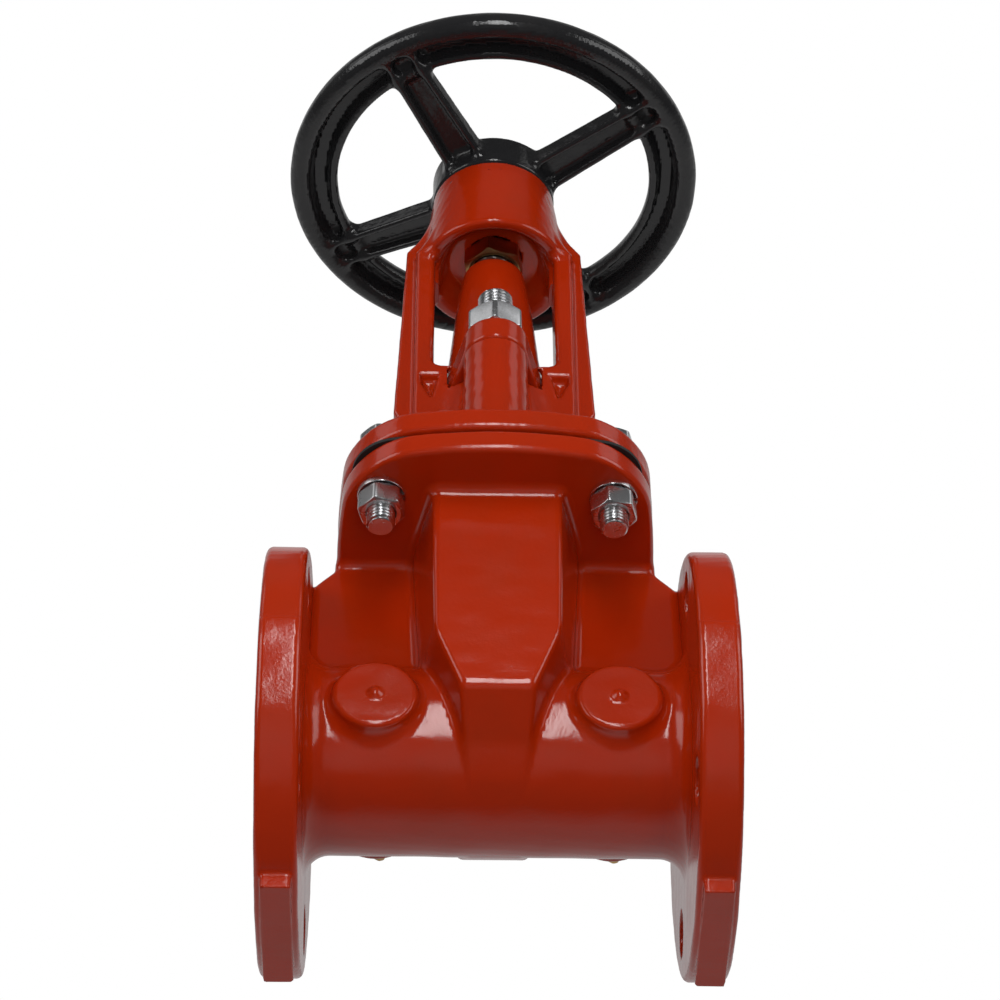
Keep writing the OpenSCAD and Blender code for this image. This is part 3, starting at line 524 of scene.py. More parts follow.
@dataclass
class BodyCasting:
    """Body of the valve: two round end flanges on feet, barrel, wedge housing, bosses and joint flange.

    Heights of the housing and of the web are measured from the bore's axis. The panel and the core are the
    housing's corners as half width and height, at a depth of panel_y and core_y. A web's side and top are the
    two parts of a unit normal and the offset of the plane.
    """

    name: str = "body_casting"
    face_x: float = 95.25
    flange_t: float = 17.5
    flange_r: float = 88.9
    flange_edge: float = 2.8
    parting_step: float = 0.45
    axis_z: float = 90.0
    barrel_r: float = 38.8
    barrel_end_x: float = 90.0
    barrel_fillet: float = 10.0
    bore_r: float = 31.75
    bore_edge: float = 1.2
    foot_half_w: float = 31.0
    foot_half_t: float = 6.25
    foot_half_h: float = 15.0
    foot_drop: float = 75.0
    foot_edge: float = 1.6
    foot_ledge: float = 0.8
    boss_x: float = 49.5
    boss_r: float = 17.5
    boss_reach: float = 43.4
    boss_edge: float = 2.0
    boss_fillet: float = 4.5
    nub_r: float = 3.7
    nub_sink: float = 1.8
    nub_fillet: float = 0.7
    panel: Points = ((27.0, 120.0), (26.4, 23.4), (15.0, -6.0))
    panel_y: float = 56.7
    core: Points = ((36.8, 120.0), (33.0, 30.8), (12.5, -31.8))
    core_y: float = 20.0
    housing_edge: float = 2.4
    housing_fillet: float = 3.6
    housing_top_h: float = 110.0
    web_side: Triple = (0.9911, 0.1334, 22.8)
    web_top: Triple = (0.781, 0.625, 117.1)
    web_edge: float = 3.0
    web_end_x: float = 86.0
    web_fillet: float = 5.0
    joint_z: float = 205.0
    joint_edge: float = 0.6
    bolt_circle_r: float = 69.85
    hole_r: float = 9.525
    hole_from_x: float = 76.0
    hole_edge: float = 0.7
    room_half_x: float = 19.0
    room_half_y: float = 50.0
    room_r: float = 34.15
    room_slant: float = 38.5
    room_foot_h: float = -4.35
    skin: float = 0.12
    wave_length: float = 31.0
    step: float = 1.4
    planes: Planes = field(default_factory=list)

    def __post_init__(self) -> None:
        """Works out the planes of the housing from its front panel and its core."""
        rings = ((self.panel, self.panel_y), (self.core, self.core_y))
        points = [(sx * u, sy * depth, v) for corners, depth in rings for u, v in corners
                  for sx in (-1, 1) for sy in (-1, 1)]
        self.planes = [(n, d) for n, d in hull_planes(points) if n[0] > -TINY and n[1] > -TINY]

    def end_flange(self, ax: Array, y: Array, h: Array) -> Array:
        """End flange with its foot; the upper half is smaller by the mould's parting step, over 1 mm.

        Args:
            ax: distance from the valve's middle along the bore.
            y: coordinate from front to back.
            h: height from the bore's axis.

        Returns:
            Distance to the flange.
        """
        middle = self.face_x - self.flange_t / 2
        parting = self.parting_step * np.clip(h + 0.5, 0.0, 1.0)
        disc = trim(np.hypot(y, h) - self.flange_r + parting, np.abs(ax - middle) - self.flange_t / 2,
                    self.flange_edge)
        foot = trim(np.abs(y) - self.foot_half_w, np.abs(ax - middle) - self.foot_half_t, self.foot_edge)
        foot = trim(foot, np.abs(h + self.foot_drop) - self.foot_half_h, self.foot_ledge)
        return fillet(disc, foot, self.foot_ledge)

    def housing(self, x: Array, y: Array, h: Array) -> Array:
        """Housing of the wedge with the webs along the bore and the joint flange on top.

        Args:
            x: coordinate along the bore.
            y: coordinate from front to back.
            h: height from the bore's axis.

        Returns:
            Distance to the housing.
        """
        ax, ay = np.abs(x), np.abs(y)
        block = convex(ax, ay, h, self.planes, self.housing_edge)
        side = self.web_side[0] * ay + self.web_side[1] * h - self.web_side[2]
        top = self.web_top[0] * ax + self.web_top[1] * h - self.web_top[2]
        web = np.maximum(trim(side, top, self.web_edge), ax - self.web_end_x)
        block = fillet(block, np.maximum(web, -h), self.web_fillet)
        flange = JOINT.plate(x, y, h - (self.joint_z - self.axis_z - JOINT.half_t))
        return fillet(np.maximum(block, h - self.housing_top_h), flange, self.web_fillet)

    def bosses(self, ax: Array, y: Array, h: Array) -> Array:
        """Four round bosses, each with a small nub in the middle of its face at the front.

        Args:
            ax: distance from the valve's middle along the bore.
            y: coordinate from front to back.
            h: height from the bore's axis.

        Returns:
            Distance to the bosses.
        """
        off = np.hypot(ax - self.boss_x, h)
        boss = trim(off - self.boss_r, np.abs(y) - self.boss_reach, self.boss_edge)
        nub = np.hypot(off, y + self.boss_reach - self.nub_sink) - self.nub_r
        return fillet(boss, np.maximum(nub, y), self.nub_fillet)

    def wedge_room(self, ax: Array, ay: Array, h: Array) -> Array:
        """Room of the wedge: round seat, guides to each side and a shaft up to the joint.

        Args:
            ax: distance from the valve's middle along the bore.
            ay: distance from the valve's middle towards the front or back.
            h: height from the bore's axis.

        Returns:
            Distance to the room.
        """
        seat = np.hypot(ay, h) - self.room_r
        slant = GUIDE_COSINE * (ay - h - self.room_slant)
        guides = np.maximum(np.maximum(ay - self.room_half_y, slant), self.room_foot_h - h)
        return np.maximum(ax - self.room_half_x, np.minimum(seat, guides))

    def shape(self, x: Array, y: Array, z: Array) -> Array:
        """The rough casting, then what is machined: faces, bore, bolt holes and the room of the wedge.

        Args:
            x: coordinate along the bore.
            y: coordinate from front to back.
            z: height above the floor.

        Returns:
            Distance to the casting.
        """
        h = z - self.axis_z
        ax, ay, r = np.abs(x), np.abs(y), np.hypot(y, z - self.axis_z)
        barrel = np.maximum(r - self.barrel_r, ax - self.barrel_end_x)
        iron = fillet(barrel, self.end_flange(ax, y, h), self.barrel_fillet)
        iron = fillet(iron, self.bosses(ax, y, h), self.boss_fillet)
        iron = fillet(iron, self.housing(x, y, h), self.housing_fillet)
        iron = iron + self.skin + cast_waves(x, y, z, self.skin, self.wave_length)
        iron = np.maximum(iron, ax - self.face_x)
        iron = trim(iron, h + self.axis_z - self.joint_z, self.joint_edge)
        iron = np.maximum(iron, -z)
        iron = carve(iron, r - self.bore_r, self.bore_edge)
        hole_at = self.bolt_circle_r * DIAGONAL
        hole = np.hypot(ay - hole_at, np.abs(h) - hole_at) - self.hole_r
        iron = carve(iron, np.maximum(hole, self.hole_from_x - ax), self.hole_edge)
        return np.maximum(iron, -self.wedge_room(ax, ay, h))

    def build(self) -> bpy.types.Object:
        """Casts the body."""
        high = (self.face_x, self.flange_r, self.joint_z)
        return Mould((-self.face_x, -self.flange_r, 0.0), high, self.step).cast(self.name, self.shape)


@dataclass
class BonnetCasting:
    """Bonnet and yoke in one casting: joint flange, dome, neck, gland lugs, two legs and the hub.

    Outlines of the legs and the pocket are distances from the middle and heights above the floor. A slope is
    a loss of radius or width per millimetre of height, and its cosine turns that loss into a distance.
    """

    name: str = "bonnet_casting"
    flange_z: float = 206.5
    flange_top_z: float = 218.5
    flange_fillet: float = 5.0
    dome_half_w: float = 31.0
    dome_slope_w: float = 0.32
    dome_half_l: float = 52.0
    dome_slope_l: float = 0.5
    dome_corner: float = 16.0
    dome_h: float = 14.0
    dome_edge: float = 8.0
    neck_r: float = 38.0
    neck_slope: float = 0.17178
    neck_cosine: float = 0.9856
    bridge_half_w: float = 9.67
    bridge_fillet: float = 6.0
    seat_z: float = 300.0
    seat_top_z: float = 314.6
    seat_r: float = 23.2
    seat_edge: float = 0.8
    seat_room: float = 1.0
    bar: Points = ((-5.0, 232.5), (29.0, 232.5), (37.0, 286.5), (37.0, 395.0), (28.0, 406.0),
                   (28.0, 320.0), (27.1, 317.9), (25.0, 317.0), (-5.0, 317.0))
    bar_half_y: float = 14.0
    bar_edge: float = 2.6
    wing: Points = ((26.0, 286.5), (40.0, 286.5), (44.2, 288.3), (46.0, 292.5), (41.5, 402.4),
                    (35.3, 411.4), (28.0, 421.0), (26.0, 421.0))
    wing_half_y: float = 7.0
    wing_edge: float = 1.8
    wing_fillet: float = 2.5
    pocket: Points = ((24.8, 310.0), (34.2, 310.0), (34.2, 305.0), (29.5, 295.0), (28.0, 295.0))
    pocket_floor_y: float = 9.5
    pocket_inset: float = 1.0
    pocket_floor_edge: float = 3.0
    pocket_edge: float = 2.5
    sill_z: float = 317.0
    window_half_x: float = 27.9
    window_half_y: float = 14.2
    window_corner: float = 3.0
    window_top_z: float = 380.0
    hub_z: float = 393.0
    hub_top_z: float = 443.0
    hub_top_edge: float = 1.0
    hub_r: float = 34.5
    hub_r_z: float = 395.5
    hub_slope: float = 0.1084
    hub_cosine: float = 0.994
    hub_edge: float = 2.4
    dish_r: float = 28.5
    dish_r_z: float = 394.25
    dish_slope: float = 0.655
    dish_cosine: float = 0.8366
    dish_top_z: float = 406.0
    dish_top_edge: float = 2.0
    dish_edge: float = 1.8
    band_z: float = 436.8
    band_r: float = 29.5
    band_edge: float = 0.4
    room_half_x: float = 19.0
    room_half_y: float = 50.0
    room_top_z: float = 210.5
    slot_half: float = 17.0
    slot_top_z: float = 222.0
    stem_hole_r: float = 10.3
    nut_hole_r: float = 12.88
    skin: float = 0.12
    wave_h: float = 0.14
    wave_length: float = 27.0
    short_wave_h: float = 0.06
    short_wave_length: float = 9.0
    step: float = 1.3

    def neck(self, x: Array, y: Array, z: Array) -> Array:
        """Dome over the raised wedge, neck and the lug column of each gland stud.

        Args:
            x: coordinate along the bore.
            y: coordinate from front to back.
            z: height above the floor.

        Returns:
            Distance to the neck.
        """
        ax, ay, r = np.abs(x), np.abs(y), np.hypot(x, y)
        up = z - self.flange_top_z
        wide = ax - self.dome_half_w + self.dome_slope_w * np.maximum(up, 0)
        deep = ay - self.dome_half_l + self.dome_slope_l * np.maximum(up, 0)
        dome = trim(trim(wide, deep, self.dome_corner), up - self.dome_h, self.dome_edge)
        cone = self.neck_cosine * (r - self.neck_r + self.neck_slope * up)
        lug = np.hypot(x, ay - GLAND.stud_y) - GLAND.lug_r
        bridge = np.maximum(ax - self.bridge_half_w, ay - GLAND.stud_y)
        columns = fillet(cone, np.minimum(lug, bridge), self.bridge_fillet)
        columns = trim(columns, z - self.seat_z, self.seat_edge)
        return fillet(dome, columns, self.dome_edge)

    def legs(self, x: Array, y: Array, z: Array) -> Array:
        """Both legs: thick inner bar, thin outer wing and the web that ties the foot to the neck.

        Args:
            x: coordinate along the bore.
            y: coordinate from front to back.
            z: height above the floor.

        Returns:
            Distance to the legs.
        """
        ax, ay = np.abs(x), np.abs(y)
        bar = trim(outline(ax, z, self.bar), ay - self.bar_half_y, self.bar_edge)
        wing = trim(outline(ax, z, self.wing), ay - self.wing_half_y, self.wing_edge)
        return fillet(bar, wing, self.wing_fillet)

    def hub(self, x: Array, y: Array, z: Array) -> Array:
        """Hub: a cone with a dished underside.

        Args:
            x: coordinate along the bore.
            y: coordinate from front to back.
            z: height above the floor.

        Returns:
            Distance to the hub.
        """
        r = np.hypot(x, y)
        cone = self.hub_cosine * (r - self.hub_r + self.hub_slope * (z - self.hub_r_z))
        hub = trim(cone, self.hub_z - z, self.hub_edge)
        dish = self.dish_cosine * (r - self.dish_r + self.dish_slope * (z - self.dish_r_z))
        return carve(hub, trim(dish, z - self.dish_top_z, self.dish_top_edge), self.dish_edge)

    def rough(self, x: Array, y: Array, z: Array) -> Array:
        """The casting as it leaves the mould, with a pocket in each leg's foot and the waves of the sand.

        Args:
            x: coordinate along the bore.
            y: coordinate from front to back.
            z: height above the floor.

        Returns:
            Distance to the rough casting.
        """
        ax, ay = np.abs(x), np.abs(y)
        flange = JOINT.plate(x, y, z - (self.flange_z + self.flange_top_z) / 2)
        iron = fillet(flange, self.neck(x, y, z), self.flange_fillet)
        yoke = fillet(self.legs(x, y, z), self.hub(x, y, z), self.flange_fillet)
        iron = fillet(iron, yoke, self.flange_fillet)
        pocket = outline(ax, z, self.pocket) + self.pocket_inset
        iron = carve(iron, trim(pocket, self.pocket_floor_y - ay, self.pocket_floor_edge), self.pocket_edge)
        return (iron + self.skin + cast_waves(x, y, z, self.wave_h, self.wave_length)
                + cast_waves(z, x, y, self.short_wave_h, self.short_wave_length))

    def shape(self, x: Array, y: Array, z: Array) -> Array:
        """The rough casting, then what is machined: hub top, gland seat, window, wedge room, bores and foot.

        Args:
            x: coordinate along the bore.
            y: coordinate from front to back.
            z: height above the floor.

        Returns:
            Distance to the casting.
        """
        ax, ay, r = np.abs(x), np.abs(y), np.hypot(x, y)
        iron = trim(self.rough(x, y, z), z - self.hub_top_z, self.hub_top_edge)
        iron = trim(iron, np.where(z > self.band_z, r - self.band_r, DEEP), self.band_edge)
        seat = np.maximum(GLAND.distance(x, y) - self.seat_room, z - self.seat_top_z)
        seat = np.maximum(np.minimum(seat, r - self.seat_r), self.seat_z - z)
        window = trim(ax - self.window_half_x, self.sill_z - z, self.window_corner)
        window = np.maximum(window, ay - self.window_half_y)
        iron = np.maximum(iron, -np.maximum(np.minimum(seat, window), z - self.window_top_z))
        room = np.maximum(np.maximum(ax - self.room_half_x, ay - self.room_half_y), z - self.room_top_z)
        room = np.minimum(room, np.maximum(np.maximum(ax, ay) - self.slot_half, z - self.slot_top_z))
        bore = np.where(z > self.window_top_z, r - self.nut_hole_r, r - self.stem_hole_r)
        iron = np.maximum(iron, -np.minimum(room, bore))
        return np.maximum(iron, self.flange_z - z)

    def build(self) -> bpy.types.Object:
        """Casts the bonnet and yoke."""
        low, high = (-JOINT.half_w, -JOINT.half_l, self.flange_z), (JOINT.half_w, JOINT.half_l, self.hub_top_z)
        return Mould(low, high, self.step).cast(self.name, self.shape)


@dataclass
class GlandCasting:
    """Gland follower: plate on the stuffing box and a tapering tower scooped out over each nut.

    The tower is the common part of two cones, each a radius at a height, a slope and the slope's cosine.
    """

    name: str = "gland_casting"
    foot_z: float = 300.0
    plate_t: float = 14.0
    plate_edge: float = 2.2
    plate_fillet: float = 2.0
    tower_r: float = 22.5
    tower_slope: float = 0.09
    tower_cosine: float = 0.9960
    tower_from_z: float = 305.0
    nose_r: float = 15.0
    nose_slope: float = 0.2
    nose_cosine: float = 0.9806
    nose_edge: float = 3.0
    top_z: float = 390.0
    top_edge: float = 1.4
    scoop_r: float = 15.1
    scoop_edge: float = 1.0
    stem_hole_r: float = 10.3
    stud_hole_r: float = 8.6
    skin: float = 0.1
    wave_length: float = 19.0
    step: float = 0.8
    most_triangles: int = 110000

    def shape(self, x: Array, y: Array, z: Array) -> Array:
        """The rough casting, then its holes for the stem and the studs.

        Args:
            x: coordinate along the bore.
            y: coordinate from front to back.
            z: height above the floor.

        Returns:
            Distance to the casting.
        """
        r, ay = np.hypot(x, y), np.abs(y)
        plate_z = self.foot_z + self.plate_t
        plate = trim(GLAND.distance(x, y), np.abs(z - self.foot_z - self.plate_t / 2) - self.plate_t / 2,
                     self.plate_edge)
        lower = self.tower_cosine * (r - self.tower_r + self.tower_slope * (z - plate_z))
        upper = self.nose_cosine * (r - self.nose_r + self.nose_slope * (z - self.top_z))
        tower = np.maximum(trim(lower, upper, self.nose_edge), self.tower_from_z - z)
        tower = trim(tower, z - self.top_z, self.top_edge)
        scoop = np.hypot(x, ay - GLAND.stud_y) - self.scoop_r
        tower = carve(tower, np.maximum(scoop, plate_z - z), self.scoop_edge)
        iron = fillet(plate, tower, self.plate_fillet)
        iron = iron + self.skin + cast_waves(x, y, z, self.skin, self.wave_length)
        stud = np.hypot(x, ay - GLAND.stud_y) - self.stud_hole_r
        return np.maximum(np.maximum(iron, self.stem_hole_r - r), -stud)

    def build(self) -> bpy.types.Object:
        """Casts the gland follower.

        Returns:
            The piece.
        """
        half_x, half_y = GLAND.middle_r, GLAND.stud_y + GLAND.lug_r
        low, high = (-half_x, -half_y, self.foot_z), (half_x, half_y, self.top_z)
        return Mould(low, high, self.step, self.most_triangles).cast(self.name, self.shape)


@dataclass
class WheelCasting:
    """Handwheel: hollow rim with a full outer bead, four channel spokes and the hub."""

    name: str = "wheel_casting"
    wheel_z: float = 443.3
    wheel_top_z: float = 476.0
    outer_r: float = 99.6
    rim_w: float = 23.4
    rim_h: float = 18.5
    rim_wall: float = 9.0
    lift: float = 14.2
    bead_r: float = 5.2
    lip_r: float = 2.3
    hollow_in: float = 6.1
    hollow_out: float = 11.9
    hub_r: float = 29.5
    hub_h: float = 19.0
    hub_edge: float = 2.2
    hub_fillet: float = 3.5
    spoke_turn: float = 58.5
    spoke_w: float = 19.0
    spoke_h: float = 10.0
    spoke_z: float = 447.8
    spoke_root_r: float = 23.5
    spoke_length: float = 66.0
    spoke_rise: float = 10.1
    spoke_taper: float = 0.026
    spoke_taper_from: float = 30.0
    spoke_edge: float = 2.4
    spoke_fillet: float = 4.5
    channel_half_w: float = 6.1
    channel_depth: float = 5.5
    channel_draft: float = 0.14
    channel_cosine: float = 0.99
    channel_floor_edge: float = 1.8
    channel_edge: float = 1.6
    shank_r: float = 12.9
    shank_flat: float = 12.0
    skin: float = 0.1
    wave_length: float = 23.0
    step: float = 1.25

    def rim_section(self) -> Points:
        """Section of the rim: arch over the top, thin inner lip and round outer bead.

        Returns:
            Corners of the section as radius and height.
        """
        foot_z = self.wheel_z + self.lift
        arch_z, web_z = foot_z + self.bead_r, foot_z + self.rim_h - self.rim_wall
        inner_r, mid_r = self.outer_r - self.rim_w, self.outer_r - self.rim_w / 2

        def arc(centre: float, wide: float, high: float, start: int, stop: int, step: int) -> Points:
            """Points of an arc about (centre, arch_z), from start to stop degrees."""
            return [(centre + wide * math.cos(math.radians(t)), arch_z + high * math.sin(math.radians(t)))
                    for t in range(start, stop + 1, step)]

        return (arc(mid_r, self.rim_w / 2, self.rim_h - self.bead_r, 0, 180, 9)
                + arc(inner_r + self.lip_r, self.lip_r, self.lip_r, 180, 360, 30)
                + [(inner_r + self.hollow_in, web_z), (self.outer_r - self.hollow_out, web_z)]
                + arc(self.outer_r - self.bead_r, self.bead_r, self.bead_r, 180, 360, 18))

    def spokes(self, x: Array, y: Array, z: Array) -> Array:
        """Four spokes, each a channel open below that rises and narrows from the hub to the rim.

        Args:
            x: coordinate along the bore.
            y: coordinate from front to back.
            z: height above the floor.

        Returns:
            Distance to the spokes.
        """
        r = np.hypot(x, y)
        turn = np.degrees(np.arctan2(y, x)) - self.spoke_turn
        turn = np.radians((turn + 45.0) % 90.0 - 45.0)
        out, across = r * np.cos(turn) - self.spoke_root_r, np.abs(r * np.sin(turn))
        up = z - self.spoke_z
        slope, half_h, half_l = math.radians(self.spoke_rise), self.spoke_h / 2, self.spoke_length / 2
        along = out * math.cos(slope) + up * math.sin(slope)
        high = up * math.cos(slope) - out * math.sin(slope)
        taper = self.spoke_taper * (along - self.spoke_taper_from)
        block = trim(across - self.spoke_w / 2 + taper, np.abs(high - half_h) - half_h, self.spoke_edge)
        wall = self.channel_cosine * (across - self.channel_half_w + taper + self.channel_draft * high)
        channel = trim(wall, high - self.channel_depth, self.channel_floor_edge)
        return np.maximum(carve(block, channel, self.channel_edge), np.abs(along - half_l) - half_l)

    def shape(self, x: Array, y: Array, z: Array) -> Array:
        """The rough casting, then the hole for the nut's shank, which has two flats.

        Args:
            x: coordinate along the bore.
            y: coordinate from front to back.
            z: height above the floor.

        Returns:
            Distance to the casting.
        """
        r = np.hypot(x, y)
        rim = outline(r, z, self.rim_section())
        hub = trim(r - self.hub_r, np.abs(z - self.wheel_z - self.hub_h / 2) - self.hub_h / 2, self.hub_edge)
        iron = fillet(fillet(rim, self.spokes(x, y, z), self.spoke_fillet), hub, self.hub_fillet)
        iron = iron + self.skin + cast_waves(x, y, z, self.skin, self.wave_length)
        shank = np.maximum(r - self.shank_r, np.abs(x) - self.shank_flat)
        return np.maximum(iron, -shank)

    def build(self) -> bpy.types.Object:
        """Casts the handwheel."""
        r = self.outer_r
        return Mould((-r, -r, self.wheel_z), (r, r, self.wheel_top_z), self.step).cast(self.name, self.shape)


@dataclass
class WedgeCasting:
    """Rubber covered wedge: round below, a guide to each side, and a slotted boss for the stem's collar.

    Heights are measured from the bore's axis.
    """

    name: str = "rubber_wedge"
    axis_z: float = 90.0
    half_x: float = 18.5
    half_y: float = 49.5
    disc_r: float = 33.15
    guide_slant: float = 37.5
    guide_corner: float = 3.0
    guide_foot_h: float = -4.35
    guide_top_h: float = 46.0
    guide_fillet: float = 4.0
    edge: float = 2.0
    boss_half: float = 16.5
    boss_top_h: float = 60.0
    boss_edge: float = 1.5
    slot_half_y: float = 15.0
    slot_mid_h: float = 48.25
    slot_half_h: float = 4.25
    throat_half_y: float = 10.5
    throat_foot_h: float = 44.0
    skin: float = 0.05
    low_z: float = 56.8
    step: float = 1.3
    most_triangles: int = 60000

    def shape(self, x: Array, y: Array, z: Array) -> Array:
        """Distance to the wedge, with the slot for the stem's collar and the throat for its rod.

        Args:
            x: coordinate along the bore.
            y: coordinate from front to back.
            z: height above the floor.

        Returns:
            Distance to the wedge.
        """
        h, ax, ay = z - self.axis_z, np.abs(x), np.abs(y)
        disc = np.hypot(ay, h) - self.disc_r
        guides = trim(ay - self.half_y, GUIDE_COSINE * (ay - h - self.guide_slant), self.guide_corner)
        guides = trim(guides, np.maximum(self.guide_foot_h - h, h - self.guide_top_h), self.edge)
        leaf = trim(fillet(disc, guides, self.guide_fillet), ax - self.half_x, self.edge)
        boss = trim(np.maximum(ax, ay) - self.boss_half, np.maximum(h - self.boss_top_h, -h), self.boss_edge)
        leaf = fillet(leaf, boss, self.edge) + self.skin
        slot = np.maximum(ay - self.slot_half_y, np.abs(h - self.slot_mid_h) - self.slot_half_h)
        throat = np.maximum(ay - self.throat_half_y, self.throat_foot_h - h)
        return np.maximum(leaf, -np.minimum(slot, throat))

    def build(self) -> bpy.types.Object:
        """Makes the wedge.

        Returns:
            The piece.
        """
        low = (-self.half_x, -self.half_y, self.low_z)
        high = (self.half_x, self.half_y, self.axis_z + self.boss_top_h)
        return Mould(low, high, self.step, self.most_triangles).cast(self.name, self.shape)


# ---- turned and screwed pieces: grids of an angle and a place along the profile ----

CHAMFER = math.tan(math.radians(30))


def turns(count: int) -> Array:
    """Angles of that many columns, once round."""
    return np.linspace(0, 2 * math.pi, count + 1)[:-1]


def profile_of(rows: Sequence[tuple[Size, Size]], columns: int) -> Array:
    """Stacks rows of radius and height, one number or one per column, into a (rows, columns, 2) array."""
    blank = np.empty(columns)
    return np.stack([np.stack(np.broadcast_arrays(r, z, blank)[:2], axis=-1) for r, z in rows])


def soften(profile: Array, radius: float) -> Array:
    """Rounds the inner corners of a profile: each becomes five points of a curve that touches both sides.

    Args:
        profile: (rows, columns, 2) radii and heights, one profile per column.
        radius: how far from the corner the curve starts, at most 45% of a side.

    Returns:
        The rounded profile, with more rows.
    """
    most, points = 0.45, 5
    before, corner, after = profile[:-2], profile[1:-1], profile[2:]
    back, ahead = before - corner, after - corner
    back_l = np.maximum(np.linalg.norm(back, axis=2, keepdims=True), 1e-9)
    ahead_l = np.maximum(np.linalg.norm(ahead, axis=2, keepdims=True), 1e-9)
    start = corner + back * np.minimum(radius / back_l, most)
    stop = corner + ahead * np.minimum(radius / ahead_l, most)
    t = np.linspace(0, 1, points)[None, :, None, None]
    curve = (1 - t) ** 2 * start[:, None] + 2 * t * (1 - t) * corner[:, None] + t ** 2 * stop[:, None]
    rows = curve.reshape(-1, *profile.shape[1:])
    return np.concatenate([profile[:1], rows, profile[-1:]])


def rings_of(r: Array, z: Array, angles: Array) -> Array:
    """Ring points from radii and heights: (r cos angle, r sin angle, z), as a (rows, columns, 3) array."""
    return np.stack([r * np.cos(angles), r * np.sin(angles), np.broadcast_to(z, r.shape)], axis=-1)


def turned(profile: Array, angles: Array, radius: float = 0.3) -> Skin:
    """Turns a softened profile round the Z axis, one column per angle, and skins it.

    Args:
        profile: (rows, columns, 2) radii and heights.
        angles: angle of each column.
        radius: how far from its corners the profile is softened.

    Returns:
        Vertices and faces.
    """
    soft = soften(profile, radius)
    return tube_grid(rings_of(soft[..., 0], soft[..., 1], angles))


def polygon_radius(angles: Array, sides: int, across: float, turn: float, blunt: float) -> Array:
    """Radius of a regular polygon at each angle: half the width over the cosine from the nearest flat.

    Args:
        angles: angles about the axis.
        sides: number of flats.
        across: width across the flats.
        turn: angle of a corner.
        blunt: how much the corners are worn down.

    Returns:
        The radius at each angle.
    """
    step = 2 * math.pi / sides
    off = np.mod(angles - turn, step) - step / 2
    return np.minimum(across / 2 / np.cos(off), across / 2 / math.cos(step / 2) - blunt)


@dataclass(frozen=True)
class Hexagon:
    """A hexagon with both ends chamfered by a cone, from z to z + height."""

    across: float
    z: float
    height: float
    turn: float = 0.0
    ease: float = 0.7
    blunt: float = 0.25
    face_share: float = 0.475
    columns: int = 96

    def angles(self) -> Array:
        """Angles of the columns, with one at each corner."""
        return np.radians(self.turn) + turns(self.columns)

    def outside(self) -> list[tuple[Size, Size]]:
        """Rows from the foot's flat face to the top's: a cone cuts each corner at 30 degrees.

        Returns:
            Four rows of radius and height.
        """
        out = polygon_radius(self.angles(), 6, self.across, math.radians(self.turn), self.blunt)
        face_r, top = self.face_share * self.across, self.z + self.height
        rise = (out - face_r) * CHAMFER
        return [(face_r, self.z), (out, self.z + rise), (out, top - rise), (face_r, top)]

    def ring(self, bore_r: float) -> Skin:
        """Nut of this shape: a closed ring whose section goes out along the foot, up the flat and back.

        Args:
            bore_r: radius of the hole.

        Returns:
            Vertices and faces.
        """
        middle, top, wide_r = self.z + self.height / 2, self.z + self.height, bore_r + self.ease
        rows = [(bore_r, middle), (bore_r, self.z + self.ease), (wide_r, self.z), *self.outside(),
                (wide_r, top), (bore_r, top - self.ease), (bore_r, middle)]
        return turned(profile_of(rows, self.columns), self.angles())

    def block(self) -> Skin:
        """Solid block of this shape, such as a bolt's head."""
        rows = [(0, self.z), *self.outside(), (0, self.z + self.height)]
        return turned(profile_of(rows, self.columns), self.angles())


@dataclass(frozen=True)
class Thread:
    """A screw thread on a rod; the share of the pitch that is flat differs at crest and root."""

    crest_r: float
    depth: float
    pitch: float
    left_hand: bool = False
    root_share: float = 0.14
    crest_share: float = 0.14

    def radius(self, angles: Array, z: Array) -> Array:
        """Radius at an angle and a height: the crest less a blunt V that climbs one pitch a turn.

        Args:
            angles: angles about the axis.
            z: heights.

        Returns:
            The radius at each pair.
        """
        hand = -1.0 if self.left_hand else 1.0
        phase = np.mod(z / self.pitch - hand * angles / (2 * math.pi), 1.0)
        crest = np.abs(2 * phase - 1)
        low, high = self.root_share, 1 - self.crest_share
        return self.crest_r - self.depth * np.clip((high - crest) / (high - low), 0, 1)


@dataclass(frozen=True)
class Rod:
    """A rod with a thread between two heights and a chamfer at both ends."""

    thread: Thread
    low: float
    high: float
    start: float
    stop: float
    ends: float = 1.0
    columns: int = 60
    rows_a_turn: int = 14

    def skin(self) -> Skin:
        """The rod's grid: the radius depends on angle and height, and a ring of no size closes each end.

        Returns:
            Vertices and faces, closed at both ends.
        """
        thread, low, high = self.thread, self.low, self.high
        angles = turns(self.columns)
        cut = np.arange(max(self.start, low), min(self.stop, high), thread.pitch / self.rows_a_turn)
        z = np.unique(np.round(np.concatenate([[low, low + self.ends, high - self.ends, high], cut]), 4))
        z = z[(z >= low) & (z <= high)][:, None]
        run_in = np.clip(np.minimum(z - self.start, self.stop - z) / thread.pitch, 0, 1)
        plain = thread.crest_r + 0 * z
        r = plain + (thread.radius(angles, z) - plain) * run_in
        r = np.minimum(r, thread.crest_r - self.ends + np.minimum(z - low, high - z))
        rings = rings_of(r, z, angles)
        first, last, half, none = rings[:1], rings[-1:], (0.5, 0.5, 1), (0, 0, 1)
        return tube_grid(np.concatenate([first * none, first * half, rings, last * half, last * none]))


def finish_piece(name: str, parts: list[Skin], at: Triple = (0, 0, 0),
                 degrees: float = 32.0) -> bpy.types.Object:
    """Writes joined parts as one piece, moved to its place, with smooth shading between sharp edges.

    Args:
        name: name of the piece.
        parts: vertices and faces of each part.
        at: place in millimetres.
        degrees: edges that turn more than this stay sharp.

    Returns:
        The piece.
    """
    vertices, faces = join_meshes(parts)
    piece = write_mesh(name, vertices + np.asarray(at, float), faces)
    merge_poles(piece)
    sharpen(piece, degrees)
    return piece


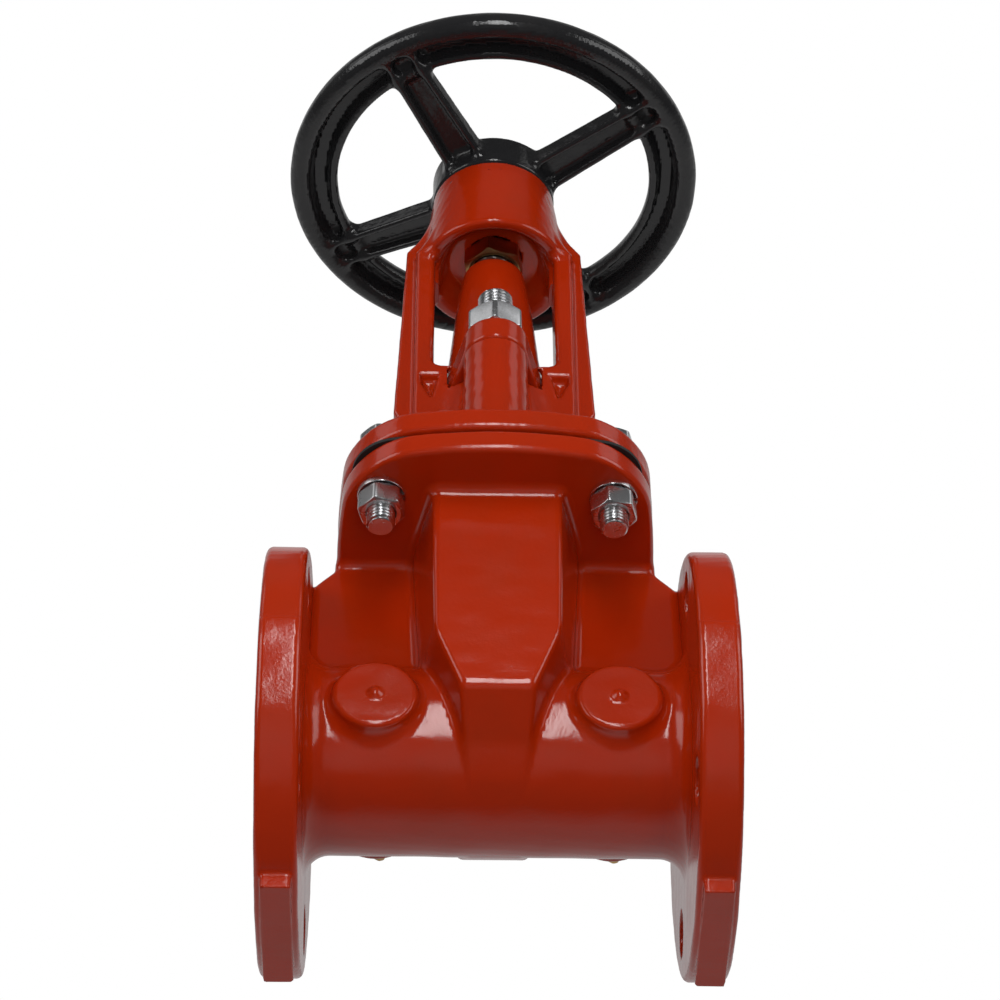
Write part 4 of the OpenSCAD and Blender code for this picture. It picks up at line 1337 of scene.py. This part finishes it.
@dataclass
class Fasteners:
    """Bolts, spring washers and nuts of the joint flanges, and the studs and nuts of the gland."""

    bolt_x: float = 49.0
    bolt_y: float = 54.0
    bolt_head: Hexagon = Hexagon(across=18.0, z=218.5, height=7.5, turn=15.0)
    bolt_shank: Rod = Rod(Thread(crest_r=6.0, depth=1.05, pitch=1.75),
                          low=172.9, high=219.5, start=171.0, stop=199.0)
    bolt_nut: Hexagon = Hexagon(across=18.0, z=180.4, height=10.0, turn=15.0)
    bolt_nut_r: float = 6.05
    washer_inner_r: float = 6.2
    washer_outer_r: float = 10.25
    washer_foot_z: float = 190.4
    washer_top_z: float = 193.0
    washer_edge: float = 0.35
    washer_slant: float = 25.0
    washer_half_gap: float = 0.8
    washer_rows: int = 61
    stud: Rod = Rod(Thread(crest_r=8.0, depth=1.2, pitch=2.0), low=276.0, high=340.6, start=312.0, stop=342.0)
    stud_nut: Hexagon = Hexagon(across=24.0, z=314.0, height=13.0, turn=27.0)
    stud_nut_r: float = 8.05

    def places(self) -> dict[str, Triple]:
        """Place of each bolt by the name of its corner."""
        return {"front_left": (-self.bolt_x, -self.bolt_y, 0), "front_right": (self.bolt_x, -self.bolt_y, 0),
                "rear_left": (-self.bolt_x, self.bolt_y, 0), "rear_right": (self.bolt_x, self.bolt_y, 0)}

    def bolt(self) -> list[Skin]:
        """Hexagon head on the upper flange and a shank whose thread shows below the nut."""
        return [self.bolt_head.block(), self.bolt_shank.skin()]

    def spring_washer(self) -> list[Skin]:
        """Ring of square section with a slanted gap: the section is carried round, and both ends are closed.

        Returns:
            Vertices and faces of the washer.
        """
        inner, outer = self.washer_inner_r, self.washer_outer_r
        foot, top = self.washer_foot_z, self.washer_top_z
        corners = np.array([(inner, foot), (outer, foot), (outer, top), (inner, top)])
        section = np.concatenate([corners, corners[:1]])[:, None, :]
        section = soften(section, self.washer_edge)[1:-1, 0]
        turn = np.linspace(0, 1, self.washer_rows)[:, None]
        slant = (section[:, 1] - (foot + top) / 2) * math.tan(math.radians(self.washer_slant))
        first = (slant + self.washer_half_gap) / section[:, 0]
        last = (slant - self.washer_half_gap) / section[:, 0]
        angles = first + (2 * math.pi + last - first) * turn
        rings = np.stack([section[:, 0] * np.cos(angles), section[:, 0] * np.sin(angles),
                          np.broadcast_to(section[:, 1], angles.shape)], axis=-1)
        first, last = (np.broadcast_to(ring.mean(axis=0), (1, *ring.shape)) for ring in (rings[0], rings[-1]))
        return [tube_grid(np.concatenate([first, rings, last])[:, ::-1])]

    def build(self) -> dict[str, bpy.types.Object]:
        """Makes each fastener.

        Returns:
            The pieces by the name of the part that each one is.
        """
        pieces = {}
        for corner, at in self.places().items():
            nut, washer = [self.bolt_nut.ring(self.bolt_nut_r)], self.spring_washer()
            pieces[f"bonnet_bolt_{corner}"] = finish_piece(f"joint_bolt_{corner}", self.bolt(), at)
            pieces[f"lock_washer_{corner}"] = finish_piece(f"spring_washer_{corner}", washer, at)
            pieces[f"bonnet_nut_{corner}"] = finish_piece(f"joint_nut_{corner}", nut, at)
        for place, side in (("front", -1), ("rear", 1)):
            at = (0, side * GLAND.stud_y, 0)
            nut = [self.stud_nut.ring(self.stud_nut_r)]
            pieces[f"gland_bolt_{place}"] = finish_piece(f"gland_stud_{place}", [self.stud.skin()], at)
            pieces[f"gland_nut_{place}"] = finish_piece(f"gland_lock_nut_{place}", nut, at)
        return pieces


@dataclass
class Spindle:
    """The screwed stem, the brass nut that lifts it and the lock nut that holds the handwheel."""

    stem_foot_z: float = 134.0
    collar_r: float = 14.5
    collar_h: float = 8.0
    collar_edge: float = 0.8
    collar_columns: int = 72
    rod: Rod = Rod(Thread(crest_r=10.0, depth=1.9, pitch=5.0, left_hand=True, root_share=0.3, crest_share=0.3),
                   low=138.0, high=475.3, start=335.0, stop=481.3)
    nut_turn: float = 19.0
    nut_across: float = 26.0
    nut_blunt: float = 0.25
    nut_face_r: float = 12.35
    nut_bore_r: float = 10.3
    nut_ease: float = 0.8
    nut_foot_z: float = 395.9
    nut_hex_top_z: float = 405.9
    nut_seam_z: float = 430.0
    nut_step_z: float = 443.1
    nut_step_h: float = 0.05
    nut_top_z: float = 472.3
    nut_columns: int = 96
    shank_r: float = 12.8
    shank_flat: float = 11.9
    lock_nut: Hexagon = Hexagon(across=36.0, z=462.3, height=10.0, turn=10.0)
    lock_nut_r: float = 12.85

    def stem(self) -> bpy.types.Object:
        """Rod with a collar at its foot and a left-hand thread on its upper part.

        Returns:
            The stem.
        """
        foot, top = self.stem_foot_z, self.stem_foot_z + self.collar_h
        rows = [(0, foot), (self.collar_r, foot), (self.collar_r, top), (0, top)]
        collar = turned(profile_of(rows, self.collar_columns), turns(self.collar_columns), self.collar_edge)
        return finish_piece("screwed_stem", [self.rod.skin(), collar])

    def yoke_nut(self) -> bpy.types.Object:
        """Hexagon under the hub and a shank with two driving flats through the wheel; open along the middle.

        Returns:
            The nut.
        """
        turn = math.radians(self.nut_turn)
        angles = turn + turns(self.nut_columns)
        out = polygon_radius(angles, 6, self.nut_across, turn, self.nut_blunt)
        flats = np.minimum(self.shank_r, self.shank_flat / np.maximum(np.abs(np.cos(angles)), TINY))
        bore_r, face_r, ease, shank_r = self.nut_bore_r, self.nut_face_r, self.nut_ease, self.shank_r
        foot, hex_top, step, top = self.nut_foot_z, self.nut_hex_top_z, self.nut_step_z, self.nut_top_z
        rows = [(bore_r, self.nut_seam_z), (bore_r, foot + ease), (bore_r + ease, foot), (face_r, foot),
                (out, foot + (out - face_r) * CHAMFER), (out, hex_top), (shank_r, hex_top), (shank_r, step),
                (flats, step + self.nut_step_h), (flats, top - ease), (flats - ease, top), (bore_r, top),
                (bore_r, self.nut_seam_z)]
        return finish_piece("brass_yoke_nut", [turned(profile_of(rows, self.nut_columns), angles)])

    def wheel_nut(self) -> bpy.types.Object:
        """Thin lock nut on top of the wheel's hub."""
        return finish_piece("wheel_lock_nut", [self.lock_nut.ring(self.lock_nut_r)])

    def build(self) -> dict[str, bpy.types.Object]:
        """Makes the three pieces."""
        return {"stem": self.stem(), "yoke_nut": self.yoke_nut(), "wheel_nut": self.wheel_nut()}


@dataclass
class BossPlugs:
    """Square-headed plugs that close the tapped bosses at the back."""

    boss_x: float = 49.5
    face_y: float = 43.4
    axis_z: float = 90.0
    turn: float = 75.0
    foot: float = -2.0
    stub_r: float = 9.4
    collar_r: float = 12.5
    collar_foot: float = 0.2
    collar_top: float = 3.0
    head_across: float = 15.0
    head_blunt: float = 1.0
    head_taper: float = 0.98
    crown_share: float = 0.9
    crown_foot: float = 10.2
    head_top: float = 11.0
    edge: float = 0.4
    columns: int = 96

    def plug(self) -> Skin:
        """Round collar and a square head that tapers a little, turned about their own axis.

        Returns:
            Vertices and faces.
        """
        turn = math.radians(self.turn)
        angles = turn + turns(self.columns)
        square = polygon_radius(angles, 4, self.head_across, turn, self.head_blunt)
        rows = [(0, self.foot), (self.stub_r, self.foot), (self.stub_r, self.collar_foot),
                (self.collar_r, self.collar_foot), (self.collar_r, self.collar_top), (square, self.collar_top),
                (square * self.head_taper, self.crown_foot), (square * self.crown_share, self.head_top),
                (0, self.head_top)]
        return turned(profile_of(rows, self.columns), angles, self.edge)

    def build(self) -> dict[str, bpy.types.Object]:
        """Makes both plugs, laid over so that their axis points to the back.

        Returns:
            The pieces by the name of the part that each one is.
        """
        pieces = {}
        vertices, faces = self.plug()
        laid = np.stack([vertices[:, 0], vertices[:, 2], -vertices[:, 1]], axis=1)
        for place, side in (("left", -1), ("right", 1)):
            at = (side * self.boss_x, self.face_y, self.axis_z)
            pieces[f"boss_plug_{place}"] = finish_piece(f"square_plug_{place}", [(laid, faces)], at)
        return pieces


# ---- finishes ----

class NodeSheet:
    """Short way to lay nodes in a tree: add returns the node, and the other methods its output."""

    def __init__(self, tree: bpy.types.NodeTree) -> None:
        """Keeps the tree and clears it."""
        self.tree = tree
        tree.nodes.clear()

    def add(self, kind: str, inputs: dict[str | int, object] | None = None,
            **settings: object) -> bpy.types.Node:
        """Adds a node; an input's value may be a number, a colour or another node's output.

        Args:
            kind: the node's type.
            inputs: values by the input's name or number.
            **settings: attributes of the node.

        Returns:
            The node.
        """
        node = self.tree.nodes.new(kind)
        for name, value in settings.items():
            setattr(node, name, value)
        for key, value in (inputs or {}).items():
            if isinstance(value, bpy.types.NodeSocket):
                self.tree.links.new(value, node.inputs[key])
            else:
                node.inputs[key].default_value = value
        return node

    def math(self, operation: str, *values: Socket) -> bpy.types.NodeSocket:
        """Adds a Math node."""
        return self.add("ShaderNodeMath", dict(enumerate(values)), operation=operation).outputs[0]

    def noise(self, where: bpy.types.NodeSocket, per_mm: float, detail: float = 2.0,
              roughness: float = 0.5) -> bpy.types.NodeSocket:
        """Adds a noise whose features repeat that many times in a millimetre."""
        return self.add("ShaderNodeTexNoise", {"Vector": where, "Scale": per_mm / MM, "Detail": detail,
                                               "Roughness": roughness}).outputs[0]

    def remap(self, value: bpy.types.NodeSocket, from_low: float, from_high: float, low: float,
              high: float) -> bpy.types.NodeSocket:
        """Adds a Map Range node."""
        ranges = {0: value, 1: from_low, 2: from_high, 3: low, 4: high}
        return self.add("ShaderNodeMapRange", ranges).outputs[0]

    def mix(self, share: Socket, first: Colour, second: Colour) -> bpy.types.NodeSocket:
        """Adds a mix of two colours."""
        colours = {0: share, 6: (*first, 1), 7: (*second, 1)}
        return self.add("ShaderNodeMix", colours, data_type="RGBA").outputs[2]

    def group(self, tree: bpy.types.NodeTree, **values: float) -> bpy.types.NodeSocket:
        """Adds a node group with its own values."""
        return self.add("ShaderNodeGroup", values, node_tree=tree).outputs[0]

    def bump(self, height: bpy.types.NodeSocket, distance_mm: float) -> bpy.types.NodeSocket:
        """Adds a bump of that distance."""
        values = {"Strength": 1.0, "Distance": distance_mm * MM, "Height": height}
        return self.add("ShaderNodeBump", values).outputs[0]

    def shade(self, **sockets: Socket | tuple) -> None:
        """Adds the Principled shader and the output.

        Args:
            **sockets: values by the shader's socket, with an underscore for a space.
        """
        inputs = {key.replace("_", " "): value for key, value in sockets.items()}
        shader = self.add("ShaderNodeBsdfPrincipled", inputs)
        self.add("ShaderNodeOutputMaterial", {"Surface": shader.outputs[0]})


def new_group(name: str, inputs: dict[str, float], output: str) -> tuple[bpy.types.NodeTree, NodeSheet]:
    """Starts a shader node group with number inputs and one number output.

    Args:
        name: name of the group.
        inputs: default value by input name.
        output: name of the output.

    Returns:
        The group and a sheet to lay its nodes on.
    """
    group = bpy.data.node_groups.new(name, "ShaderNodeTree")
    for label, value in inputs.items():
        socket = group.interface.new_socket(label, in_out="INPUT", socket_type="NodeSocketFloat")
        socket.default_value = value
    group.interface.new_socket(output, in_out="OUTPUT", socket_type="NodeSocketFloat")
    return group, NodeSheet(group)


def new_material(slot: Slot) -> tuple[bpy.types.Material, NodeSheet]:
    """Starts the material of a slot.

    Args:
        slot: the finish that it is for.

    Returns:
        The material and a sheet to lay its nodes on.
    """
    material = bpy.data.materials.new(slot.value)
    material.use_nodes = True
    return material, NodeSheet(material.node_tree)


class Effects:
    """Node groups that several finishes share: cast skin, uneven gloss from handling and turning marks."""

    def __init__(self) -> None:
        """Builds the groups once."""
        self.cast_skin = self.build_cast_skin()
        self.handling = self.build_handling()
        self.tool_marks = self.build_tool_marks()

    @staticmethod
    def build_cast_skin() -> bpy.types.NodeTree:
        """Height of a painted sand casting: lumps, the grain of the sand and the ripple of the paint.

        Returns:
            The group.
        """
        group, sheet = new_group("cast_skin", {"Lumps": 1.0, "Grain": 1.0, "Ripple": 1.0}, "Height")
        inputs = sheet.add("NodeGroupInput")
        where = sheet.add("ShaderNodeTexCoord").outputs["Object"]
        lumps = sheet.math("MULTIPLY", sheet.noise(where, 0.11, 2.0, 0.45), inputs.outputs["Lumps"])
        grain = sheet.math("MULTIPLY", sheet.noise(where, 0.42, 3.0, 0.6), inputs.outputs["Grain"])
        ripple = sheet.math("MULTIPLY", sheet.noise(where, 0.85, 1.0, 0.4), inputs.outputs["Ripple"])
        total = sheet.math("ADD", sheet.math("ADD", lumps, grain), ripple)
        sheet.add("NodeGroupOutput", {"Height": total})
        return group

    @staticmethod
    def build_handling() -> bpy.types.NodeTree:
        """Uneven gloss from handling: broad cloudy patches and small marks, from 0 to 1.

        Returns:
            The group.
        """
        group, sheet = new_group("handling", {"Patches": 1.0, "Marks": 1.0}, "Amount")
        inputs = sheet.add("NodeGroupInput")
        where = sheet.add("ShaderNodeTexCoord").outputs["Object"]
        patches = sheet.remap(sheet.noise(where, 0.03, 4.0, 0.6), 0.45, 0.7, 0.0, 1.0)
        marks = sheet.remap(sheet.noise(where, 0.6, 5.0, 0.7), 0.6, 0.72, 0.0, 1.0)
        total = sheet.math("ADD", sheet.math("MULTIPLY", patches, inputs.outputs["Patches"]),
                           sheet.math("MULTIPLY", marks, inputs.outputs["Marks"]))
        sheet.add("NodeGroupOutput", {"Amount": sheet.math("MINIMUM", total, 1.0)})
        return group

    @staticmethod
    def build_tool_marks() -> bpy.types.NodeTree:
        """Fine rings left by turning round the Z axis, as a height: a noise squeezed along Z.

        Returns:
            The group.
        """
        group, sheet = new_group("tool_marks", {"Depth": 1.0}, "Height")
        inputs = sheet.add("NodeGroupInput")
        where = sheet.add("ShaderNodeTexCoord").outputs["Object"]
        squeezed = sheet.add("ShaderNodeVectorMath", {0: where, 1: (0.2, 0.2, 6.0)}, operation="MULTIPLY")
        rings = sheet.noise(squeezed.outputs[0], 0.5, 3.0, 0.6)
        sheet.add("NodeGroupOutput", {"Height": sheet.math("MULTIPLY", rings, inputs.outputs["Depth"])})
        return group


@dataclass(frozen=True)
class Paint:
    """Glossy paint over a casting; worn and dull are its colour and roughness where it was handled."""

    slot: Slot
    colour: Colour
    worn: Colour
    roughness: float
    dull: float
    lumps: float
    grain: float
    ripple: float
    bump_mm: float
    patches: float = 0.6
    marks: float = 0.5

    def build(self, effects: Effects) -> bpy.types.Material:
        """Makes the material: cloudy gloss, a little colour change and the bump of the cast skin.

        Args:
            effects: the shared node groups.

        Returns:
            The material.
        """
        material, sheet = new_material(self.slot)
        amount = sheet.group(effects.handling, Patches=self.patches, Marks=self.marks)
        skin = sheet.group(effects.cast_skin, Lumps=self.lumps, Grain=self.grain, Ripple=self.ripple)
        sheet.shade(Base_Color=sheet.mix(amount, self.colour, self.worn),
                    Roughness=sheet.remap(amount, 0.0, 1.0, self.roughness, self.dull),
                    Normal=sheet.bump(skin, self.bump_mm))
        return material


@dataclass(frozen=True)
class Metal:
    """Bare or plated metal; dull_colour and dull are its colour and roughness where it has dulled."""

    slot: Slot
    colour: Colour
    dull_colour: Colour
    roughness: float
    dull: float
    depth: float
    patches: float = 0.8
    marks: float = 0.6
    bump_mm: float = 0.02

    def build(self, effects: Effects) -> bpy.types.Material:
        """Makes the material: patches of dulled metal and the marks of the tool.

        Args:
            effects: the shared node groups.

        Returns:
            The material.
        """
        material, sheet = new_material(self.slot)
        amount = sheet.group(effects.handling, Patches=self.patches, Marks=self.marks)
        rings = sheet.group(effects.tool_marks, Depth=self.depth)
        sheet.shade(Base_Color=sheet.mix(amount, self.colour, self.dull_colour),
                    Roughness=sheet.remap(amount, 0.0, 1.0, self.roughness, self.dull),
                    Metallic=1.0, Normal=sheet.bump(rings, self.bump_mm))
        return material


@dataclass(frozen=True)
class Rubber:
    """Matt black rubber with a fine grain."""

    slot: Slot
    colour: Colour
    roughness: float = 0.6
    bump_mm: float = 0.03

    def build(self, effects: Effects) -> bpy.types.Material:
        """Makes the material from the shared cast skin at a fine setting.

        Args:
            effects: the shared node groups.

        Returns:
            The material.
        """
        material, sheet = new_material(self.slot)
        skin = sheet.group(effects.cast_skin, Lumps=0.2, Grain=0.6, Ripple=1.0)
        sheet.shade(Base_Color=(*self.colour, 1), Roughness=self.roughness,
                    Normal=sheet.bump(skin, self.bump_mm))
        return material


FINISHES = (
    Paint(Slot.RED_EPOXY, colour=(0.38, 0.0195, 0.0012), worn=(0.33, 0.021, 0.002), roughness=0.15, dull=0.22,
          lumps=0.50, grain=0.20, ripple=0.12, bump_mm=0.24),
    Paint(Slot.BLACK_ENAMEL, colour=(0.014, 0.014, 0.015), worn=(0.020, 0.019, 0.019), roughness=0.14, dull=0.28,
          lumps=0.9, grain=0.25, ripple=0.12, bump_mm=0.4),
    Metal(Slot.ZINC, colour=(0.80, 0.81, 0.83), dull_colour=(0.60, 0.60, 0.60), roughness=0.20, dull=0.36,
          depth=0.5),
    Metal(Slot.BRASS, colour=(0.56, 0.36, 0.15), dull_colour=(0.34, 0.22, 0.10), roughness=0.28, dull=0.45,
          depth=0.6),
    Metal(Slot.STEM_STEEL, colour=(0.55, 0.53, 0.50), dull_colour=(0.36, 0.34, 0.31), roughness=0.25, dull=0.42,
          depth=0.8),
    Rubber(Slot.WEDGE_RUBBER, (0.018, 0.018, 0.019)),
    Rubber(Slot.GASKET_RUBBER, (0.012, 0.012, 0.012)),
)


# ---- stage, light and camera, in metres ----

@dataclass(frozen=True)
class Softbox:
    """A rectangular light; mirrored says whether glossy faces mirror it."""

    name: str
    at: Triple
    towards: Triple
    size: tuple[float, float]
    watts: float
    mirrored: bool = True

    def build(self) -> None:
        """Adds the light to the scene."""
        light = bpy.data.lights.new(self.name, "AREA")
        light.shape, light.energy = "RECTANGLE", self.watts
        light.size, light.size_y = self.size
        holder = bpy.data.objects.new(self.name, light)
        holder.visible_glossy = self.mirrored
        holder.location = self.at
        holder.rotation_euler = (Vector(self.towards) - Vector(self.at)).to_track_quat("-Z", "Y").to_euler()
        bpy.context.scene.collection.objects.link(holder)


FOOT = (0.0, 0.0, 0.2)
SOFTBOXES = (
    Softbox("front_softbox", (0.0, -1.45, 0.48), (0.0, 0.0, 0.48), (0.22, 1.15), 8.0),
    Softbox("low_fill", (0.0, -1.2, -0.7), (0.0, 0.0, 0.25), (1.0, 0.8), 9.0, mirrored=False),
    Softbox("top_softbox", (0.0, -0.2, 1.9), FOOT, (1.6, 1.6), 16.0, mirrored=False),
    Softbox("back_softbox", (0.0, 1.7, 0.7), FOOT, (1.6, 1.2), 8.0, mirrored=False),
    Softbox("left_softbox", (-1.23, -0.86, 0.5), FOOT, (0.8, 1.0), 6.0),
    Softbox("left_high_softbox", (-0.96, -0.45, 1.26), FOOT, (0.5, 0.5), 0.5),
    Softbox("right_softbox", (1.23, -0.86, 0.5), FOOT, (0.8, 1.0), 6.0),
    Softbox("right_high_softbox", (0.96, -0.45, 1.26), FOOT, (0.5, 0.5), 0.5),
)


@dataclass
class Studio:
    """Pale floor, dim room in front, pale backdrop behind, soft lights and a camera below the valve."""

    floor_half: float = 20.0
    floor_z: float = -0.0005
    floor_grey: float = 0.8
    floor_roughness: float = 0.7
    front_strength: float = 0.07
    back_strength: float = 0.5
    camera_at: Triple = (-0.0253, -1.0615, -0.8073)
    camera_tilt: float = 134.69
    camera_turn: float = -1.5
    camera_roll: float = -0.3
    lens_mm: float = 120.8
    sensor_mm: float = 36.0

    def floor(self) -> None:
        """Pale floor that only a camera above it sees; light and a camera below it pass through."""
        half, low = self.floor_half, self.floor_z
        mesh = bpy.data.meshes.new("floor")
        corners = [(-half, -half, low), (half, -half, low), (half, half, low), (-half, half, low)]
        mesh.from_pydata(corners, [], [(0, 1, 2, 3)])
        floor = bpy.data.objects.new("floor", mesh)
        bpy.context.scene.collection.objects.link(floor)
        material = bpy.data.materials.new("pale_floor")
        material.use_nodes = True
        sheet = NodeSheet(material.node_tree)
        grey = (self.floor_grey, self.floor_grey, self.floor_grey, 1)
        pale = sheet.add("ShaderNodeBsdfPrincipled", {"Base Color": grey, "Roughness": self.floor_roughness})
        clear = sheet.add("ShaderNodeBsdfTransparent")
        above = sheet.math("SUBTRACT", 1.0, sheet.add("ShaderNodeNewGeometry").outputs["Backfacing"])
        seen = sheet.math("MULTIPLY", above, sheet.add("ShaderNodeLightPath").outputs["Is Camera Ray"])
        surface = sheet.add("ShaderNodeMixShader", {0: seen, 1: clear.outputs[0], 2: pale.outputs[0]})
        sheet.add("ShaderNodeOutputMaterial", {"Surface": surface.outputs[0]})
        mesh.materials.append(material)

    def surroundings(self) -> None:
        """World: white to the camera; to all else a dim room in front and a pale backdrop behind."""
        world = bpy.data.worlds.new("studio")
        bpy.context.scene.world = world
        world.use_nodes = True
        sheet = NodeSheet(world.node_tree)
        direction = sheet.add("ShaderNodeTexCoord").outputs["Generated"]
        depth = sheet.add("ShaderNodeSeparateXYZ", {0: direction}).outputs["Y"]
        strength = sheet.remap(depth, 0.1, 0.5, self.front_strength, self.back_strength)
        room = sheet.add("ShaderNodeBackground", {"Color": (1, 1, 1, 1), "Strength": strength})
        white = sheet.add("ShaderNodeBackground", {"Color": (1, 1, 1, 1), "Strength": 1.0})
        path = sheet.add("ShaderNodeLightPath").outputs["Is Camera Ray"]
        seen = sheet.add("ShaderNodeMixShader", {0: path, 1: room.outputs[0], 2: white.outputs[0]})
        sheet.add("ShaderNodeOutputWorld", {"Surface": seen.outputs[0]})

    def camera(self) -> None:
        """Camera in front of the valve and well below it, looking up."""
        lens = bpy.data.cameras.new("camera")
        lens.lens, lens.sensor_width = self.lens_mm, self.sensor_mm
        lens.clip_start, lens.clip_end = 0.01, 50.0
        camera = bpy.data.objects.new("camera", lens)
        camera.location = self.camera_at
        aim = Euler((math.radians(self.camera_tilt), 0.0, math.radians(self.camera_turn))).to_matrix()
        camera.rotation_euler = (aim @ Matrix.Rotation(math.radians(self.camera_roll), 3, "Z")).to_euler()
        bpy.context.scene.collection.objects.link(camera)
        bpy.context.scene.camera = camera

    def build(self) -> None:
        """Sets the stage."""
        self.floor()
        self.surroundings()
        for softbox in SOFTBOXES:
            softbox.build()
        self.camera()
        bpy.context.scene.view_settings.view_transform = "Standard"
        LOG.info("studio: floor, surroundings, camera and %d lights", len(SOFTBOXES))


# ---- the valve ----

SLOT_OF = {"valve_body": Slot.RED_EPOXY, "bonnet_yoke": Slot.RED_EPOXY, "gland_follower": Slot.RED_EPOXY,
           "handwheel": Slot.BLACK_ENAMEL, "wheel_nut": Slot.ZINC, "yoke_nut": Slot.BRASS,
           "stem": Slot.STEM_STEEL, "wedge": Slot.WEDGE_RUBBER, "bonnet_gasket": Slot.GASKET_RUBBER}
BODY_OF = {"handwheel": Body.HANDWHEEL, "wheel_nut": Body.HANDWHEEL, "yoke_nut": Body.HANDWHEEL,
           "stem": Body.STEM, "wedge": Body.STEM}


def slot_of(part: str) -> Slot:
    """Finish of a part; what isn't listed is a plug or zinc plated hardware.

    Args:
        part: name of the part in the construction.

    Returns:
        The finish.
    """
    if part in SLOT_OF:
        return SLOT_OF[part]
    return Slot.BRASS if part.startswith("boss_plug") else Slot.ZINC


class Valve:
    """The whole valve: makes its pieces, dresses them and puts each on the body that carries it."""

    def __init__(self) -> None:
        """Builds the finishes."""
        effects = Effects()
        self.materials = {finish.slot: finish.build(effects) for finish in FINISHES}

    def place(self, part: str, piece: bpy.types.Object) -> None:
        """Puts a finished piece in a part's place.

        Args:
            part: name of the part in the construction.
            piece: the piece that replaces it.
        """
        slot = slot_of(part)
        piece.data.materials.clear()
        piece.data.materials.append(self.materials[slot])
        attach(piece, BODY_OF.get(part, Body.VALVE).value)
        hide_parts(part)
        triangles = len(piece.data.loops) - 2 * len(piece.data.polygons)
        LOG.info("%s stands for %s: %d triangles, finish %s", piece.name, part, triangles, slot.value)

    def build(self) -> None:
        """Makes every piece, and dresses the one construction part that stays."""
        for part, maker in (("valve_body", BodyCasting()), ("bonnet_yoke", BonnetCasting()),
                            ("gland_follower", GlandCasting()), ("handwheel", WheelCasting()),
                            ("wedge", WedgeCasting())):
            self.place(part, maker.build())
        for group in (Fasteners(), Spindle(), BossPlugs()):
            for part, piece in group.build().items():
                self.place(part, piece)
        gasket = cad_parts["bonnet_gasket"]
        gasket.data.materials.clear()
        gasket.data.materials.append(self.materials[Slot.GASKET_RUBBER])
        LOG.info("bonnet_gasket keeps its construction shape, finish %s", Slot.GASKET_RUBBER.value)


def main() -> None:
    """Builds the valve and its studio."""
    logging.basicConfig(level=logging.INFO, format="%(message)s")
    Valve().build()
    Studio().build()


if __name__ == "__main__":
    main()
